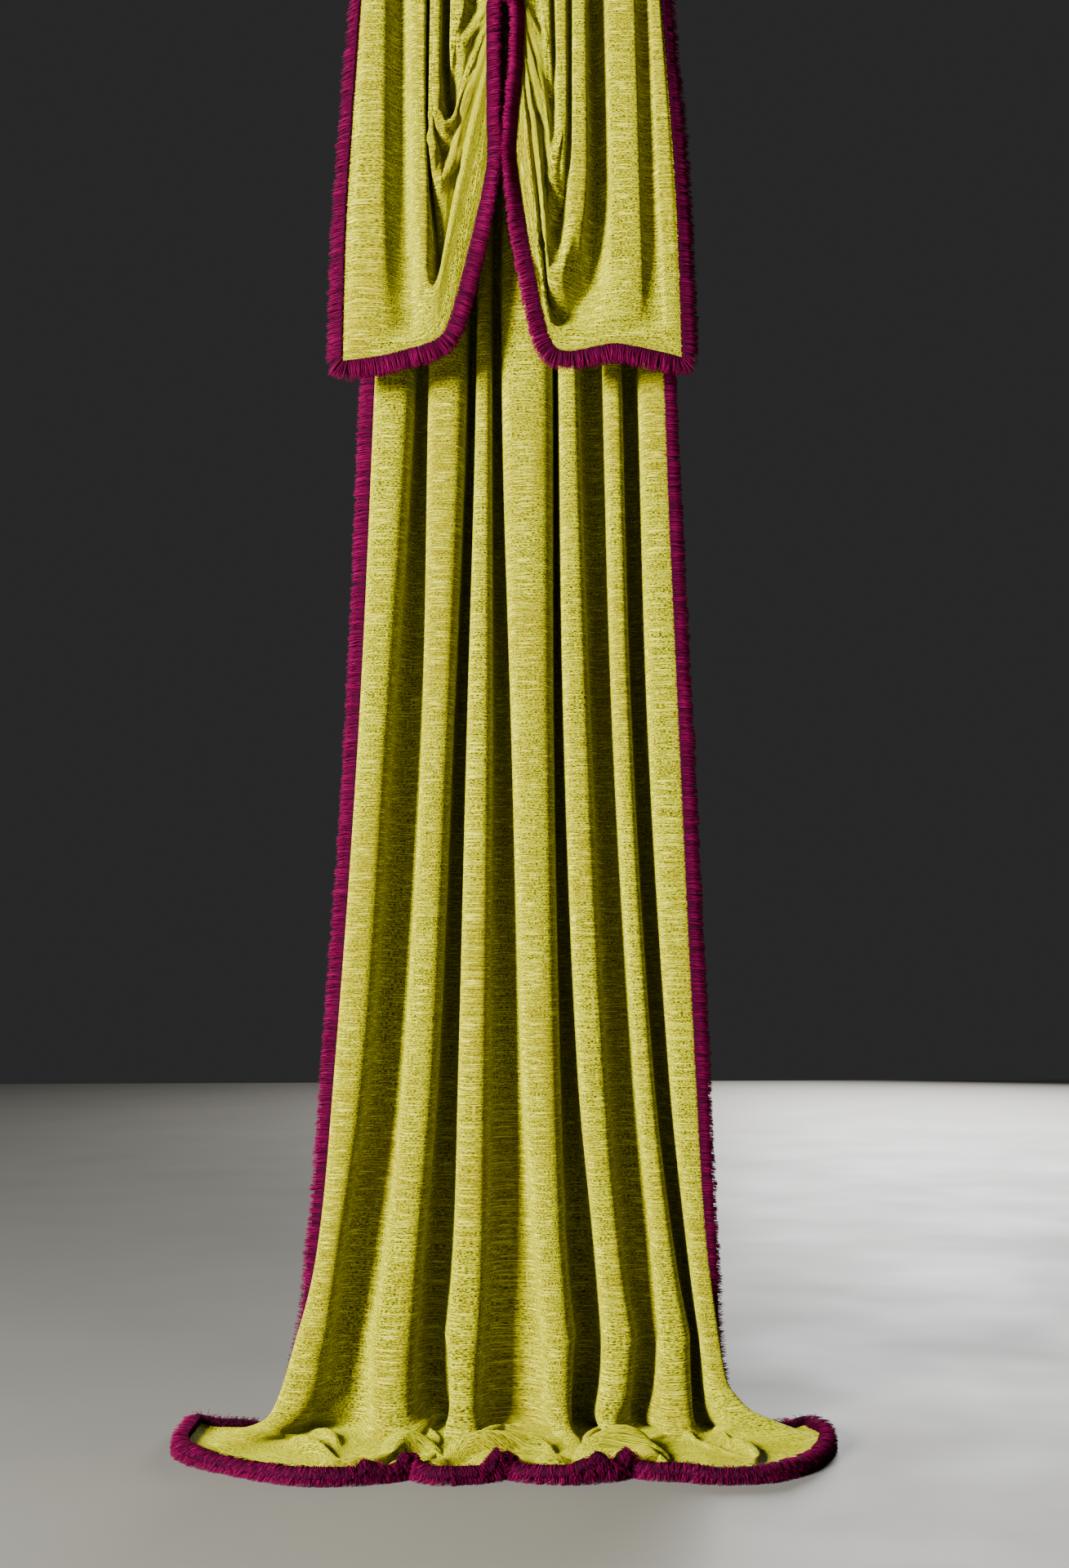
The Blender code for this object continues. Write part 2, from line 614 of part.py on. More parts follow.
class FringeMesh:
    """Collects the points and faces of one fringe: a band with a tuft on each of its stretches."""

    def __init__(self):
        self.points = []
        self.faces = []
        self.since_tuft = 0.0

    def add(self, *places):
        """Add points and return their numbers."""
        first = len(self.points)
        self.points += [Vector((p.x, p.y, max(p.z, FLOOR))) for p in places]
        return range(first, len(self.points))

    def post(self, edge):
        """Add the band's four corners at a point of the edge."""
        outer = edge.place + edge.outward * FRINGE_BAND
        rise = edge.front * FRINGE_THICKNESS
        return self.add(edge.place, edge.place + rise, outer, outer + rise)

    def stretch(self, a, b, start, end, tilt):
        """Add a stretch of band from posts a to b, with its tuft where there is room."""
        length = (end.place - start.place).length
        self.since_tuft += length
        self.faces.append((a[0], b[0], b[1], a[1]))
        if length < TUFT_LEAST or self.since_tuft < TUFT_SPACE_LEAST:
            self.faces += [(a[0], a[2], b[2], b[0]), (a[1], b[1], b[3], a[3])]
            self.faces.append((a[2], a[3], b[3], b[2]))
            return
        self.since_tuft = 0.0
        self.tuft(a, b, start, end, tilt)

    def tuft(self, a, b, start, end, tilt):
        """Add a stretch whose outer face grows into a tuft."""
        margin = (1 - TUFT_FILL) / 2
        low, high = self.points[a[2]], self.points[b[2]]
        low_front, high_front = self.points[a[3]], self.points[b[3]]
        root = [low.lerp(high, margin), low.lerp(high, 1 - margin)]
        root_front = [low_front.lerp(high_front, margin), low_front.lerp(high_front, 1 - margin)]
        ways = [tuft_way(start, end, margin, tilt), tuft_way(start, end, 1 - margin, tilt)]
        reach = tuft_length(ways[0], ways[1], root, TUFT_LENGTH)
        tips = [place + way * reach for place, way in zip(root, ways)]
        r0, r1, f0, f1, t0, t1 = self.add(*root, *root_front, *tips)
        self.faces += [(a[0], a[2], r0), (a[0], r0, r1, b[0]), (b[0], r1, b[2])]
        self.faces += [(a[1], f0, a[3]), (a[1], b[1], f1, f0), (b[1], b[3], f1)]
        self.faces += [(a[2], a[3], f0, r0), (r1, f1, b[3], b[2])]
        self.faces += [(r0, t0, t1, r1), (f0, f1, t1, t0), (r0, f0, t0), (r1, t1, f1)]

    def end_cap(self, post, first):
        """Close the band at its first or last post."""
        corners = (post[0], post[1], post[3], post[2])
        self.faces.append(corners if first else corners[::-1])


def tuft_way(start, end, share, tilt):
    """Way that a tuft's side takes from its root."""
    outward = start.outward.lerp(end.outward, share).normalized()
    front = start.front.lerp(end.front, share).normalized()
    angle = tilt(start.place.lerp(end.place, share))
    return outward * math.cos(angle) + front * math.sin(angle)


def no_tilt(_):
    """Leave a fringe in the plane of its cloth."""
    return 0.0


def add_fringe(name, edge, inner, pitch, material, tilt=no_tilt, upright=False):
    """Add the fringe of a cloth's edge, which runs along the given points of its back face."""
    points = divide(edge_points(edge, inner, upright), pitch)
    fringe = FringeMesh()
    posts = [fringe.post(p) for p in points]
    for i in range(len(points) - 1):
        fringe.stretch(posts[i], posts[i + 1], points[i], points[i + 1], tilt)
    fringe.end_cap(posts[0], True)
    fringe.end_cap(posts[-1], False)
    return add_object(name, fringe.points, turned_out(fringe.points, fringe.faces), material)


def turned_out(points, faces):
    """Faces of a closed mesh turned so that they point outwards."""
    volume = 0.0
    for face in faces:
        first = points[face[0]]
        for b, c in zip(face[1:], face[2:]):
            volume += first.dot(points[b].cross(points[c]))
    return faces if volume > 0 else [face[::-1] for face in faces]


def cloth_point_between(a, b, share):
    """Point of a cloth between two others."""
    return ClothPoint(a.place.lerp(b.place, share), a.normal.lerp(b.normal, share))


def trimmed(edge, inner, start=0.0, end=0.0):
    """Take a little off the ends of an edge, so that fringes don't meet at a corner."""
    edge, inner = list(edge), list(inner)
    for length, first, second in ((start, 0, 1), (end, -1, -2)):
        if length:
            share = length / (edge[second].place - edge[first].place).length
            edge[first] = cloth_point_between(edge[first], edge[second], share)
            inner[first] = cloth_point_between(inner[first], inner[second], share)
    return edge, inner


def add_main_fringes(grid, material):
    """Add the fringes of the long panel's sides and hem."""
    for name, column, beside in (("main_fringe_left", 0, 1), ("main_fringe_right", -1, -2)):
        edge, inner = trimmed([r[column] for r in grid], [r[beside] for r in grid],
                              end=CORNER_CLEARANCE)
        add_fringe(name, edge, inner, SIDE_PITCH, material)
    edge, inner = trimmed(grid[-1], grid[-2], CORNER_CLEARANCE, CORNER_CLEARANCE)
    add_fringe("main_fringe_hem", edge, inner, HEM_PITCH, material)


def add_overlay_fringes(grid, material):
    """Add the fringes of the short panel's sides and of its hem, round the slit."""
    corner = sum(STATION_ROWS[:CORNER_STATION])
    for name, column, beside in (("overlay_fringe_left", 0, 1), ("overlay_fringe_right", -1, -2)):
        sides = grid[:corner + 1]
        edge, inner = trimmed([r[column] for r in sides], [r[beside] for r in sides],
                              end=CORNER_CLEARANCE)
        add_fringe(name, edge, inner, HEM_PITCH, material)
    low = grid[corner:]
    edge = [r[0] for r in low] + grid[-1][1:-1] + [r[-1] for r in reversed(low)]
    rise = low[:-1] + low[-2:-1]
    inner = [r[1] for r in rise] + grid[-2][1:-1] + [r[-2] for r in reversed(rise)]
    edge, inner = trimmed(edge, inner, CORNER_CLEARANCE, CORNER_CLEARANCE)
    add_fringe("overlay_fringe_hem", edge, inner, HEM_PITCH, material, slit_tilt, upright=True)


def build():
    """Build the curtain."""
    clear_scene()
    velvet = make_material(VELVET, (0.43, 0.37, 0.035), 0.85)
    fringe = make_material(FRINGE, (0.19, 0.002, 0.085), 0.9)
    panel = add_cloth("main_panel", panel_grid(), velvet)
    overlay = add_cloth("overlay_panel", overlay_grid(), velvet)
    add_main_fringes(panel, fringe)
    add_overlay_fringes(overlay, fringe)


build()
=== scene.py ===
"""Looks of a velvet curtain in two layers, with a cut brush fringe on its edges.

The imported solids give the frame. Each panel is laid again here as a finer sheet of cloth on the same
folds, with its small creases, and each fringe is laid again strand by strand along its panel's edge.

Metres, +Z up. The origin is the middle of the top edge, the floor is at -DROP, the front faces -Y.
"""

from __future__ import annotations

import logging
import math
from dataclasses import dataclass
from enum import Enum, IntEnum

import bpy
import numpy as np
from mathutils import Euler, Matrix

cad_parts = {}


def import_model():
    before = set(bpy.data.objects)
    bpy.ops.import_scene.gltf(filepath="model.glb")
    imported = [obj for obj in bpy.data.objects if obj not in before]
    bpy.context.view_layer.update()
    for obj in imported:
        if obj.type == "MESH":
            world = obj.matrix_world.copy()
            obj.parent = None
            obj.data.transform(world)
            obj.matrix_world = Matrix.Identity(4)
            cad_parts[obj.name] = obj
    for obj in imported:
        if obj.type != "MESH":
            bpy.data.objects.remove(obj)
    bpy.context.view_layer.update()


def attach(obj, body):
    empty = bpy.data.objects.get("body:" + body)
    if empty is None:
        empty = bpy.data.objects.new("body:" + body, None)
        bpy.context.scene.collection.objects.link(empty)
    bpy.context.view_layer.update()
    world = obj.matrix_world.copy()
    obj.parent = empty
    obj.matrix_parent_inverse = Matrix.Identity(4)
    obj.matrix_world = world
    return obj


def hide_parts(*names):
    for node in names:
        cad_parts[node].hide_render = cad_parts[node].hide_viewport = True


LOG = logging.getLogger("velvet_curtain")

GRAVITY = 9.81
DROP = 2.90
FLOOR = -DROP
DOWN = np.array([0.0, 0.0, -1.0])
CLOTH_THICKNESS = 0.002
PANEL_WIDTH = 1.98  # cut width of the long panel, taken up by its folds
FOLDED_WIDTH = 1.85  # width along a coarser section of its folds, which sets how deep they are
PANEL_LENGTH = 3.24  # its cut length, from the top edge to the hem on the floor
OVERLAY_WIDTH = 1.30
OVERLAY_LENGTH = 0.86

PANEL_FRONT = -0.050  # plane of the long panel's crests
EDGE_TURN = 0.010  # radius with which a side edge turns outwards
SHALLOWEST_FOLD = 0.02  # depths between which the one that takes up the width is looked for
DEEPEST_FOLD = 0.16
DEPTH_TRIALS = 30

APEX_X = -0.0065  # middle of the slit's top
APEX_HALF_WIDTH = 0.0335
APEX_TOP = -0.127
APEX_SHOULDER = -0.161  # the slit's edges run straight up to here, and then round its top
APEX_LOW = -0.360
APEX_Y = -0.136
SLIT_LEANS = {-1: 0.0, 1: 0.013}  # how far each edge of the slit leans in at APEX_LOW
CREST_BIAS = 1.8  # above 1 widens the crests and narrows the valleys of the short panel
CREST_CROWN = 0.18  # share of a crest's depth that is a round crown
CREST_FULLNESS = 6.0  # 2 for a round crest of the long panel, more for a flatter, fuller one
VALLEY_FULLNESS = 2.6
LEFT_EDGE_DEPTH = 0.6  # how far back the side edges hang, as a share of the fold depth
RIGHT_EDGE_DEPTH = 0.06
FLANK_STEEPNESS = 0.95  # of the short panel's folds: 0 for a soft wave, 1 for upright flanks
LEFT_FLANKS = (0.15, 0.45, 0.45)  # the same from its left edge on, where the cloth only rolls
RIGHT_FLANK = 0.15
FACET_START = 1.4  # station from which the short panel's folds turn from tubes into sharp facets
FACET_END = 2.6
FACET_BIAS = 0.8
OUTER_FOLDS = 3  # fold lines along each side that keep their width on the cut cloth
SLIT_TILT = math.radians(38)  # how far the fringe in the slit turns to the front
SLIT_MOUTH = -0.64  # the slit's fringe stands forward above this height
SLIT_MOUTH_FADE = 0.14
LYING_BELOW = 0.12  # cloth lower than this over the floor takes the creases seen from above
LYING_FADE = 0.03  # height over which they come in
FLOOR_CREASE_FADE = 0.02  # stretch over which their ends die out
CREASE_FACING = 2.0  # a hanging crease is full where the cloth faces within 60 degrees of the front
TURN_BACK = -2.58  # height below which the long panel's side fringes turn behind it
TURN_BACK_FADE = 0.12
TURN_BACK_STRENGTH = 2.0
FLAT_EDGE_BELOW = 0.03  # an edge lower than this over the floor has its fringe level
CORNER_FAN = 0.018  # stretch of edge at each end over which a fringe's strands fan out
SIDE_INSET = 2  # cells inside the long panel's side edges that show the way out of the cloth
INSET = 3  # the same at the other edges


@dataclass(frozen=True)
class Fold:
    """A fold of the long panel. Its flanks are given at each of FOLD_DROPS, as x."""

    name: str
    left: tuple
    right: tuple
    stands: float  # how far its crest stands before PANEL_FRONT
    valley_top: float  # depth of the valley on its right, as a share of the full depth
    valley_foot: float
    hem: tuple  # x and y of the hem where the fold's crest runs out on the floor
    valley_hem: tuple | None  # and where the valley on its right does
    ridge: float  # height of the ridge that it leaves on the floor


FOLD_DROPS = (0.0, 0.89, 1.56, 2.22, 2.58, 2.81)

FOLDS = (
    Fold("A", (-0.236, -0.271, -0.302, -0.349, -0.385, -0.447),
         (-0.160, -0.190, -0.234, -0.280, -0.332, -0.363),
         0.0, 0.95, 0.75, (-0.598, -0.185), (-0.475, -0.310), 0.055),
    Fold("B", (-0.146, -0.164, -0.178, -0.216, -0.254, -0.298),
         (-0.072, -0.086, -0.115, -0.146, -0.176, -0.193),
         0.004, 1.0, 0.95, (-0.330, -0.378), (-0.180, -0.285), 0.045),
    Fold("C", (-0.060, -0.070, -0.090, -0.108, -0.120, -0.144),
         (-0.032, -0.037, -0.039, -0.047, -0.053, -0.065),
         -0.010, 0.95, 0.85, (-0.115, -0.372), (-0.010, -0.300), 0.035),
    Fold("D", (-0.016, -0.019, -0.002, 0.016, 0.041, 0.057),
         (0.082, 0.084, 0.082, 0.091, 0.103, 0.129),
         0.006, 1.0, 1.0, (0.100, -0.372), (0.208, -0.295), 0.050),
    Fold("E", (0.090, 0.092, 0.099, 0.124, 0.157, 0.174),
         (0.132, 0.136, 0.155, 0.183, 0.213, 0.252),
         -0.004, 0.9, 0.72, (0.300, -0.355), (0.380, -0.375), 0.035),
    Fold("F", (0.170, 0.182, 0.197, 0.233, 0.266, 0.284),
         (0.208, 0.220, 0.235, 0.272, 0.313, 0.357),
         -0.006, 0.95, 0.85, (0.465, -0.352), (0.535, -0.255), 0.035),
    Fold("G", (0.233, 0.250, 0.265, 0.301, 0.336, 0.366),
         (0.289, 0.306, 0.328, 0.354, 0.375, 0.404),
         0.0, 0.9, 0.9, (0.572, -0.130), None, 0.090),
)

LEFT_EDGE = (-0.236, -0.272, -0.301, -0.348, -0.381, -0.430)
RIGHT_EDGE = (0.278, 0.295, 0.322, 0.349, 0.364, 0.390)
LEFT_CORNER = (-0.612, 0.036)
RIGHT_CORNER = (0.556, -0.006)

HEM_CUSPS = (4, 6, 8)  # places along the hem where it turns in between two scallops
# Angles of a coarse section's columns, which are the solid's own.
CREST_ANGLES = (-90, -54, -18, 18, 54, 90)
VALLEY_ANGLES = (-30, 30)
EDGE_ANGLES = (0, 45, 90)
FOLD_SPAN = 180  # degrees of a column's angle from a crest to the valley beside it
EDGE_SPAN = 270  # and from a side edge to the crest beside it

LOW_DROPS = (2.60, 2.72)  # drops of the last sections of the hanging part
FOOT_DROP = 2.81


@dataclass(frozen=True)
class PoolStep:
    """A stage of the cloth's way from the folds' feet to the hem on the floor."""

    reach: float  # share of the way from the foot to the hem
    lift: float  # height above the floor, folds or not
    ridge: float  # share of each fold's ridge that is left


POOL_STEPS = (
    PoolStep(0.02, 0.060, 0.60),
    PoolStep(0.14, 0.008, 0.85),
    PoolStep(0.30, 0.0, 0.62),
    PoolStep(0.54, 0.0, 0.42),
    PoolStep(0.80, 0.0, 0.24),
    PoolStep(1.0, 0.008, 0.10),
)


@dataclass(frozen=True)
class Crumple:
    """A soft hump that the foot of a fold makes on the floor."""

    name: str
    x: float
    y: float
    length: float  # reach along its own axis
    width: float  # reach across it
    turn: float  # degrees from +X to its axis
    height: float


CRUMPLES = (
    Crumple("rolled tube", -0.330, -0.285, 0.055, 0.018, -8, 0.026),
    Crumple("knot at B", -0.215, -0.185, 0.045, 0.032, 30, 0.050),
    Crumple("tongue of B", -0.130, -0.270, 0.060, 0.022, -35, 0.018),
    Crumple("pinch at C", -0.100, -0.190, 0.040, 0.026, -60, 0.024),
    Crumple("ear", -0.045, -0.200, 0.045, 0.022, 70, 0.060),
    Crumple("roll under D", 0.060, -0.235, 0.060, 0.024, -25, 0.045),
    Crumple("back of D", 0.120, -0.170, 0.035, 0.030, 15, 0.035),
    Crumple("loop at D", 0.198, -0.200, 0.055, 0.020, 75, 0.060),
    Crumple("buckle at E", 0.262, -0.165, 0.035, 0.022, 25, 0.040),
    Crumple("ledge at E", 0.330, -0.285, 0.075, 0.016, -10, 0.020),
)
CRUMPLE_START = 0.25  # share of the way to the hem over which the humps rise
CRUMPLE_FADE = 6  # they die out with this power of the way to the hem
CRUMPLE_SEED = 1.25  # share of the humps' height that the cloth starts to settle from
HELD_ROWS = 3  # rows of the hanging part that hold the settling cloth
HELD_HEM = 4  # rows at the hem that stay where they are laid
HELD_LEFT = 10  # columns along the left side that keep the way they are laid
HELD_RIGHT = 15  # and along the right side
EASED_COLUMNS = 16  # columns beside those over which the settling comes in
CUT_SHARE = 0.3  # how nearly the cloth on the floor keeps its cut width where it has room to
POOL_SLACK = 1.13  # length of the cloth on the floor, by that of its straight way
LAST_VALLEY = 12.3  # column place of the valley before the last fold, which comes forward first
LAST_VALLEY_REACH = 0.9  # column places to each side of it that follow
LAST_VALLEY_LAG = 0.8  # how much later it turns to the right
EDGE_RIDGE = 0.25  # share of a fold's ridge that the side edges lie on


@dataclass(frozen=True)
class Guide:
    """A fold line of the short panel, from the top edge down, round and up to the slit's top.

    The places are x and z: on the way down, at the outer low end, halfway along the bottom, at the
    inner low end and on the way up beside the slit. The depths are y at the same places.
    """

    name: str
    top_x: float
    hang: tuple
    fall: tuple
    base: tuple
    turn: tuple
    rise: tuple
    depths: tuple
    rounding: float  # 0 for a sharp corner at the outer low end, 1 for a smooth bend
    gather: float  # where it ends, from low on the slit's edge (0) to the middle of its top (1)


LEFT_GUIDES = (
    Guide("left edge", -0.275, (-0.313, -0.540), (-0.322, -0.853), (-0.215, -0.838),
          (-0.120, -0.792), (-0.043, -0.489), (-0.128, -0.132, -0.140, -0.140, -0.132), 0.0, 0.0),
    Guide("crest 1", -0.256, (-0.272, -0.540), (-0.276, -0.800), (-0.205, -0.820),
          (-0.124, -0.781), (-0.054, -0.470), (-0.150, -0.150, -0.145, -0.144, -0.139), 0.35, 0.12),
    Guide("valley 1", -0.211, (-0.207, -0.540), (-0.190, -0.772), (-0.172, -0.798),
          (-0.136, -0.768), (-0.065, -0.450), (-0.099, -0.112, -0.137, -0.147, -0.144), 0.8, 0.24),
    Guide("crest 2", -0.172, (-0.171, -0.400), (-0.163, -0.680), (-0.150, -0.714),
          (-0.134, -0.698), (-0.076, -0.430), (-0.150, -0.152, -0.153, -0.153, -0.150), 0.6, 0.35),
    Guide("void 2", -0.152, (-0.158, -0.370), (-0.144, -0.575), (-0.135, -0.632),
          (-0.127, -0.615), (-0.084, -0.408), (-0.078, -0.072, -0.076, -0.098, -0.122), 0.6, 0.45),
    Guide("crest 3 low", -0.144, (-0.151, -0.386), (-0.148, -0.463), (-0.138, -0.505),
          (-0.120, -0.490), (-0.091, -0.385), (-0.142, -0.147, -0.144, -0.136, -0.132), 0.6, 0.53),
    Guide("hollow 3", -0.139, (-0.146, -0.352), (-0.140, -0.415), (-0.130, -0.440),
          (-0.115, -0.428), (-0.092, -0.352), (-0.132, -0.120, -0.108, -0.112, -0.124), 0.6, 0.6),
    Guide("crest 3", -0.136, (-0.144, -0.310), (-0.138, -0.368), (-0.125, -0.390),
          (-0.108, -0.380), (-0.088, -0.315), (-0.150, -0.156, -0.154, -0.142, -0.134), 0.6, 0.67),
    Guide("void 3", -0.120, (-0.122, -0.262), (-0.118, -0.325), (-0.110, -0.348),
          (-0.101, -0.343), (-0.083, -0.275), (-0.080, -0.076, -0.084, -0.112, -0.126), 0.6, 0.735),
    Guide("crest 4", -0.092, (-0.101, -0.172), (-0.102, -0.222), (-0.092, -0.240),
          (-0.082, -0.236), (-0.066, -0.208), (-0.150, -0.153, -0.152, -0.146, -0.136), 0.6, 0.805),
    Guide("hollow 5", -0.062, (-0.068, -0.115), (-0.068, -0.144), (-0.064, -0.155),
          (-0.058, -0.159), (-0.050, -0.153), (-0.112, -0.112, -0.116, -0.122, -0.130), 1.0, 0.86),
    Guide("pleat 5", -0.034, (-0.036, -0.070), (-0.036, -0.092), (-0.034, -0.104),
          (-0.031, -0.113), (-0.026, -0.122), (-0.138, -0.140, -0.140, -0.140, -0.138), 1.0, 0.95),
)

CENTRE_GUIDE = Guide(
    "centre", -0.004, (-0.004, -0.040), (-0.005, -0.070), (-0.005, -0.085),
    (-0.006, -0.100), (-0.006, -0.115), (-0.138, -0.138, -0.138, -0.138, -0.138), 1.0, 1.0)

RIGHT_GUIDES = (
    Guide("right edge", 0.283, (0.3185, -0.515), (0.3295, -0.851), (0.208, -0.826),
          (0.077, -0.823), (0.010, -0.470), (-0.138, -0.139, -0.148, -0.146, -0.134), 0.0, 0.0),
    Guide("crest 8", 0.276, (0.301, -0.515), (0.306, -0.797), (0.205, -0.808),
          (0.076, -0.806), (0.020, -0.462), (-0.144, -0.142, -0.150, -0.147, -0.138), 0.35, 0.12),
    Guide("valley 7", 0.259, (0.272, -0.515), (0.281, -0.766), (0.192, -0.797),
          (0.0755, -0.792), (0.029, -0.452), (-0.112, -0.124, -0.144, -0.147, -0.140), 0.8, 0.24),
    Guide("crest 7", 0.214, (0.224, -0.515), (0.216, -0.742), (0.160, -0.786),
          (0.0755, -0.777), (0.037, -0.440), (-0.150, -0.151, -0.140, -0.149, -0.145), 0.6, 0.35),
    Guide("void 6", 0.163, (0.170, -0.499), (0.157, -0.674), (0.118, -0.752),
          (0.077, -0.750), (0.044, -0.425), (-0.070, -0.068, -0.088, -0.112, -0.134), 0.6, 0.45),
    Guide("crest 6", 0.136, (0.132, -0.458), (0.120, -0.600), (0.098, -0.676),
          (0.074, -0.672), (0.052, -0.408), (-0.150, -0.151, -0.147, -0.147, -0.148), 0.6, 0.53),
    Guide("void 5", 0.118, (0.116, -0.417), (0.106, -0.530), (0.088, -0.572),
          (0.072, -0.552), (0.060, -0.385), (-0.118, -0.082, -0.084, -0.110, -0.130), 0.6, 0.6),
    Guide("crest 5", 0.100, (0.102, -0.345), (0.099, -0.425), (0.088, -0.456),
          (0.079, -0.440), (0.067, -0.345), (-0.150, -0.156, -0.156, -0.148, -0.142), 0.6, 0.67),
    Guide("hollow 4r", 0.081, (0.086, -0.262), (0.086, -0.325), (0.080, -0.350),
          (0.074, -0.340), (0.062, -0.278), (-0.110, -0.106, -0.110, -0.120, -0.131), 0.6, 0.735),
    Guide("pleat 3r", 0.064, (0.071, -0.185), (0.073, -0.230), (0.069, -0.248),
          (0.064, -0.240), (0.050, -0.206), (-0.140, -0.146, -0.146, -0.144, -0.140), 0.6, 0.805),
    Guide("hollow 3r", 0.046, (0.054, -0.118), (0.054, -0.148), (0.050, -0.162),
          (0.045, -0.164), (0.037, -0.155), (-0.116, -0.116, -0.118, -0.123, -0.130), 1.0, 0.86),
    Guide("pleat 2r", 0.022, (0.023, -0.070), (0.023, -0.092), (0.021, -0.104),
          (0.018, -0.113), (0.013, -0.122), (-0.138, -0.140, -0.140, -0.140, -0.138), 1.0, 0.95),
)

CORNER_STATION = 2  # number of the station at a fold line's outer low end


class View(Enum):
    """Plane in which a crease is drawn on a cloth."""

    FRONT = (0, 2)
    TOP = (0, 1)


@dataclass(frozen=True)
class Crease:
    """A soft ridge of a cloth, or a trough where its height is below 0.

    Args:
        view: the plane that its places are drawn in.
        places: places that it runs through, in that plane.
        width: how far it reaches to each side.
        height: how far it lifts the cloth, along the cloth's front where it hangs and straight up
            where it lies.
        fade: how far its ends take to die out.
    """

    view: View
    places: tuple
    width: float
    height: float
    fade: float = 0.03


def floor_crease(width: float, height: float, *places: tuple) -> Crease:
    """A crease of the cloth that lies on the floor, through places drawn from above."""
    return Crease(View.TOP, places, width, height, FLOOR_CREASE_FADE)


def alike(width: float, height: float, *lines: tuple) -> list[Crease]:
    """Creases of one kind on hanging cloth, each line of places drawn from the front."""
    return [Crease(View.FRONT, line, width, height) for line in lines]


PANEL_CREASES = (
    Crease(View.FRONT, ((0.100, -2.50), (0.118, -2.62), (0.108, -2.72)), 0.012, -0.006),
    Crease(View.FRONT, ((0.235, -2.55), (0.262, -2.66), (0.300, -2.78)), 0.016, 0.006),
    Crease(View.FRONT, ((-0.405, -2.64), (-0.375, -2.70), (-0.350, -2.79)), 0.020, -0.005),
    floor_crease(0.01, 0.024, (-0.350, -0.340), (-0.310, -0.315), (-0.270, -0.290)),
    floor_crease(0.008, 0.016, (-0.260, -0.180), (-0.260, -0.300), (-0.255, -0.410)),
    floor_crease(0.008, 0.02, (-0.255, -0.205), (-0.215, -0.290), (-0.180, -0.360), (-0.120, -0.430)),
    floor_crease(0.007, 0.016, (-0.210, -0.215), (-0.180, -0.310), (-0.160, -0.400)),
    floor_crease(0.007, 0.016, (-0.145, -0.205), (-0.115, -0.280), (-0.090, -0.320)),
    floor_crease(0.009, 0.034, (-0.055, -0.135), (-0.030, -0.245), (-0.030, -0.350), (-0.060, -0.440)),
    floor_crease(0.007, -0.012, (-0.080, -0.160), (-0.085, -0.270), (-0.090, -0.340)),
    floor_crease(0.009, 0.022, (-0.020, -0.335), (0.015, -0.265), (0.055, -0.265), (0.100, -0.210)),
    floor_crease(0.006, -0.01, (-0.010, -0.355), (0.025, -0.295), (0.070, -0.300)),
    floor_crease(0.007, 0.016, (0.055, -0.180), (0.085, -0.245), (0.110, -0.330), (0.130, -0.395)),
    floor_crease(0.008, 0.03, (0.150, -0.205), (0.170, -0.245), (0.165, -0.330), (0.135, -0.395)),
    floor_crease(0.008, 0.034, (0.165, -0.155), (0.195, -0.245), (0.195, -0.350), (0.180, -0.450)),
    floor_crease(0.008, 0.026, (0.230, -0.190), (0.260, -0.245), (0.290, -0.225), (0.300, -0.290)),
    floor_crease(0.006, 0.012, (0.245, -0.285), (0.325, -0.310), (0.410, -0.330)),
    floor_crease(0.01, 0.018, (-0.445, -0.245), (-0.400, -0.200), (-0.370, -0.100)),
    floor_crease(0.007, -0.014, (-0.445, -0.230), (-0.400, -0.175), (-0.370, -0.035)),
    floor_crease(0.009, 0.014, (0.320, -0.205), (0.355, -0.270), (0.400, -0.310)),
    floor_crease(0.01, 0.014, (0.385, -0.045), (0.410, -0.180), (0.445, -0.310)),
)

OVERLAY_CREASES = (
    *alike(0.0045, -0.0055,
           ((0.029, -0.212), (0.036, -0.284), (0.051, -0.361), (0.079, -0.428)),
           ((0.034, -0.192), (0.051, -0.258), (0.064, -0.335), (0.081, -0.417)),
           ((0.036, -0.176), (0.061, -0.233), (0.074, -0.299), (0.082, -0.361)),
           ((0.039, -0.161), (0.056, -0.186), (0.077, -0.233)),
           ((0.024, -0.243), (0.031, -0.335), (0.046, -0.417)),
           ((-0.039, -0.186), (-0.059, -0.207), (-0.077, -0.227), (-0.090, -0.230)),
           ((-0.037, -0.171), (-0.054, -0.186), (-0.070, -0.197)),
           ((-0.041, -0.202), (-0.057, -0.243), (-0.065, -0.274), (-0.090, -0.310))),
    *alike(0.006, 0.007,
           ((-0.163, -0.369), (-0.140, -0.376), (-0.110, -0.388), (-0.090, -0.361), (-0.070, -0.299)),
           ((-0.163, -0.387), (-0.145, -0.438), (-0.133, -0.503), (-0.110, -0.469), (-0.085, -0.417)),
           ((0.114, -0.553), (0.084, -0.504), (0.054, -0.458)),
           ((0.114, -0.553), (0.074, -0.566), (0.051, -0.581)),
           ((-0.120, -0.235), (-0.100, -0.240), (-0.080, -0.222), (-0.059, -0.197))),
    *alike(0.007, -0.010,
           ((-0.140, -0.399), (-0.110, -0.397), (-0.090, -0.376)),
           ((-0.130, -0.512), (-0.110, -0.484), (-0.090, -0.458)),
           ((0.046, -0.581), (0.061, -0.622), (0.082, -0.648)),
           ((0.046, -0.648), (0.061, -0.710), (0.077, -0.746)),
           ((0.061, -0.489), (0.087, -0.525), (0.104, -0.553))),
)


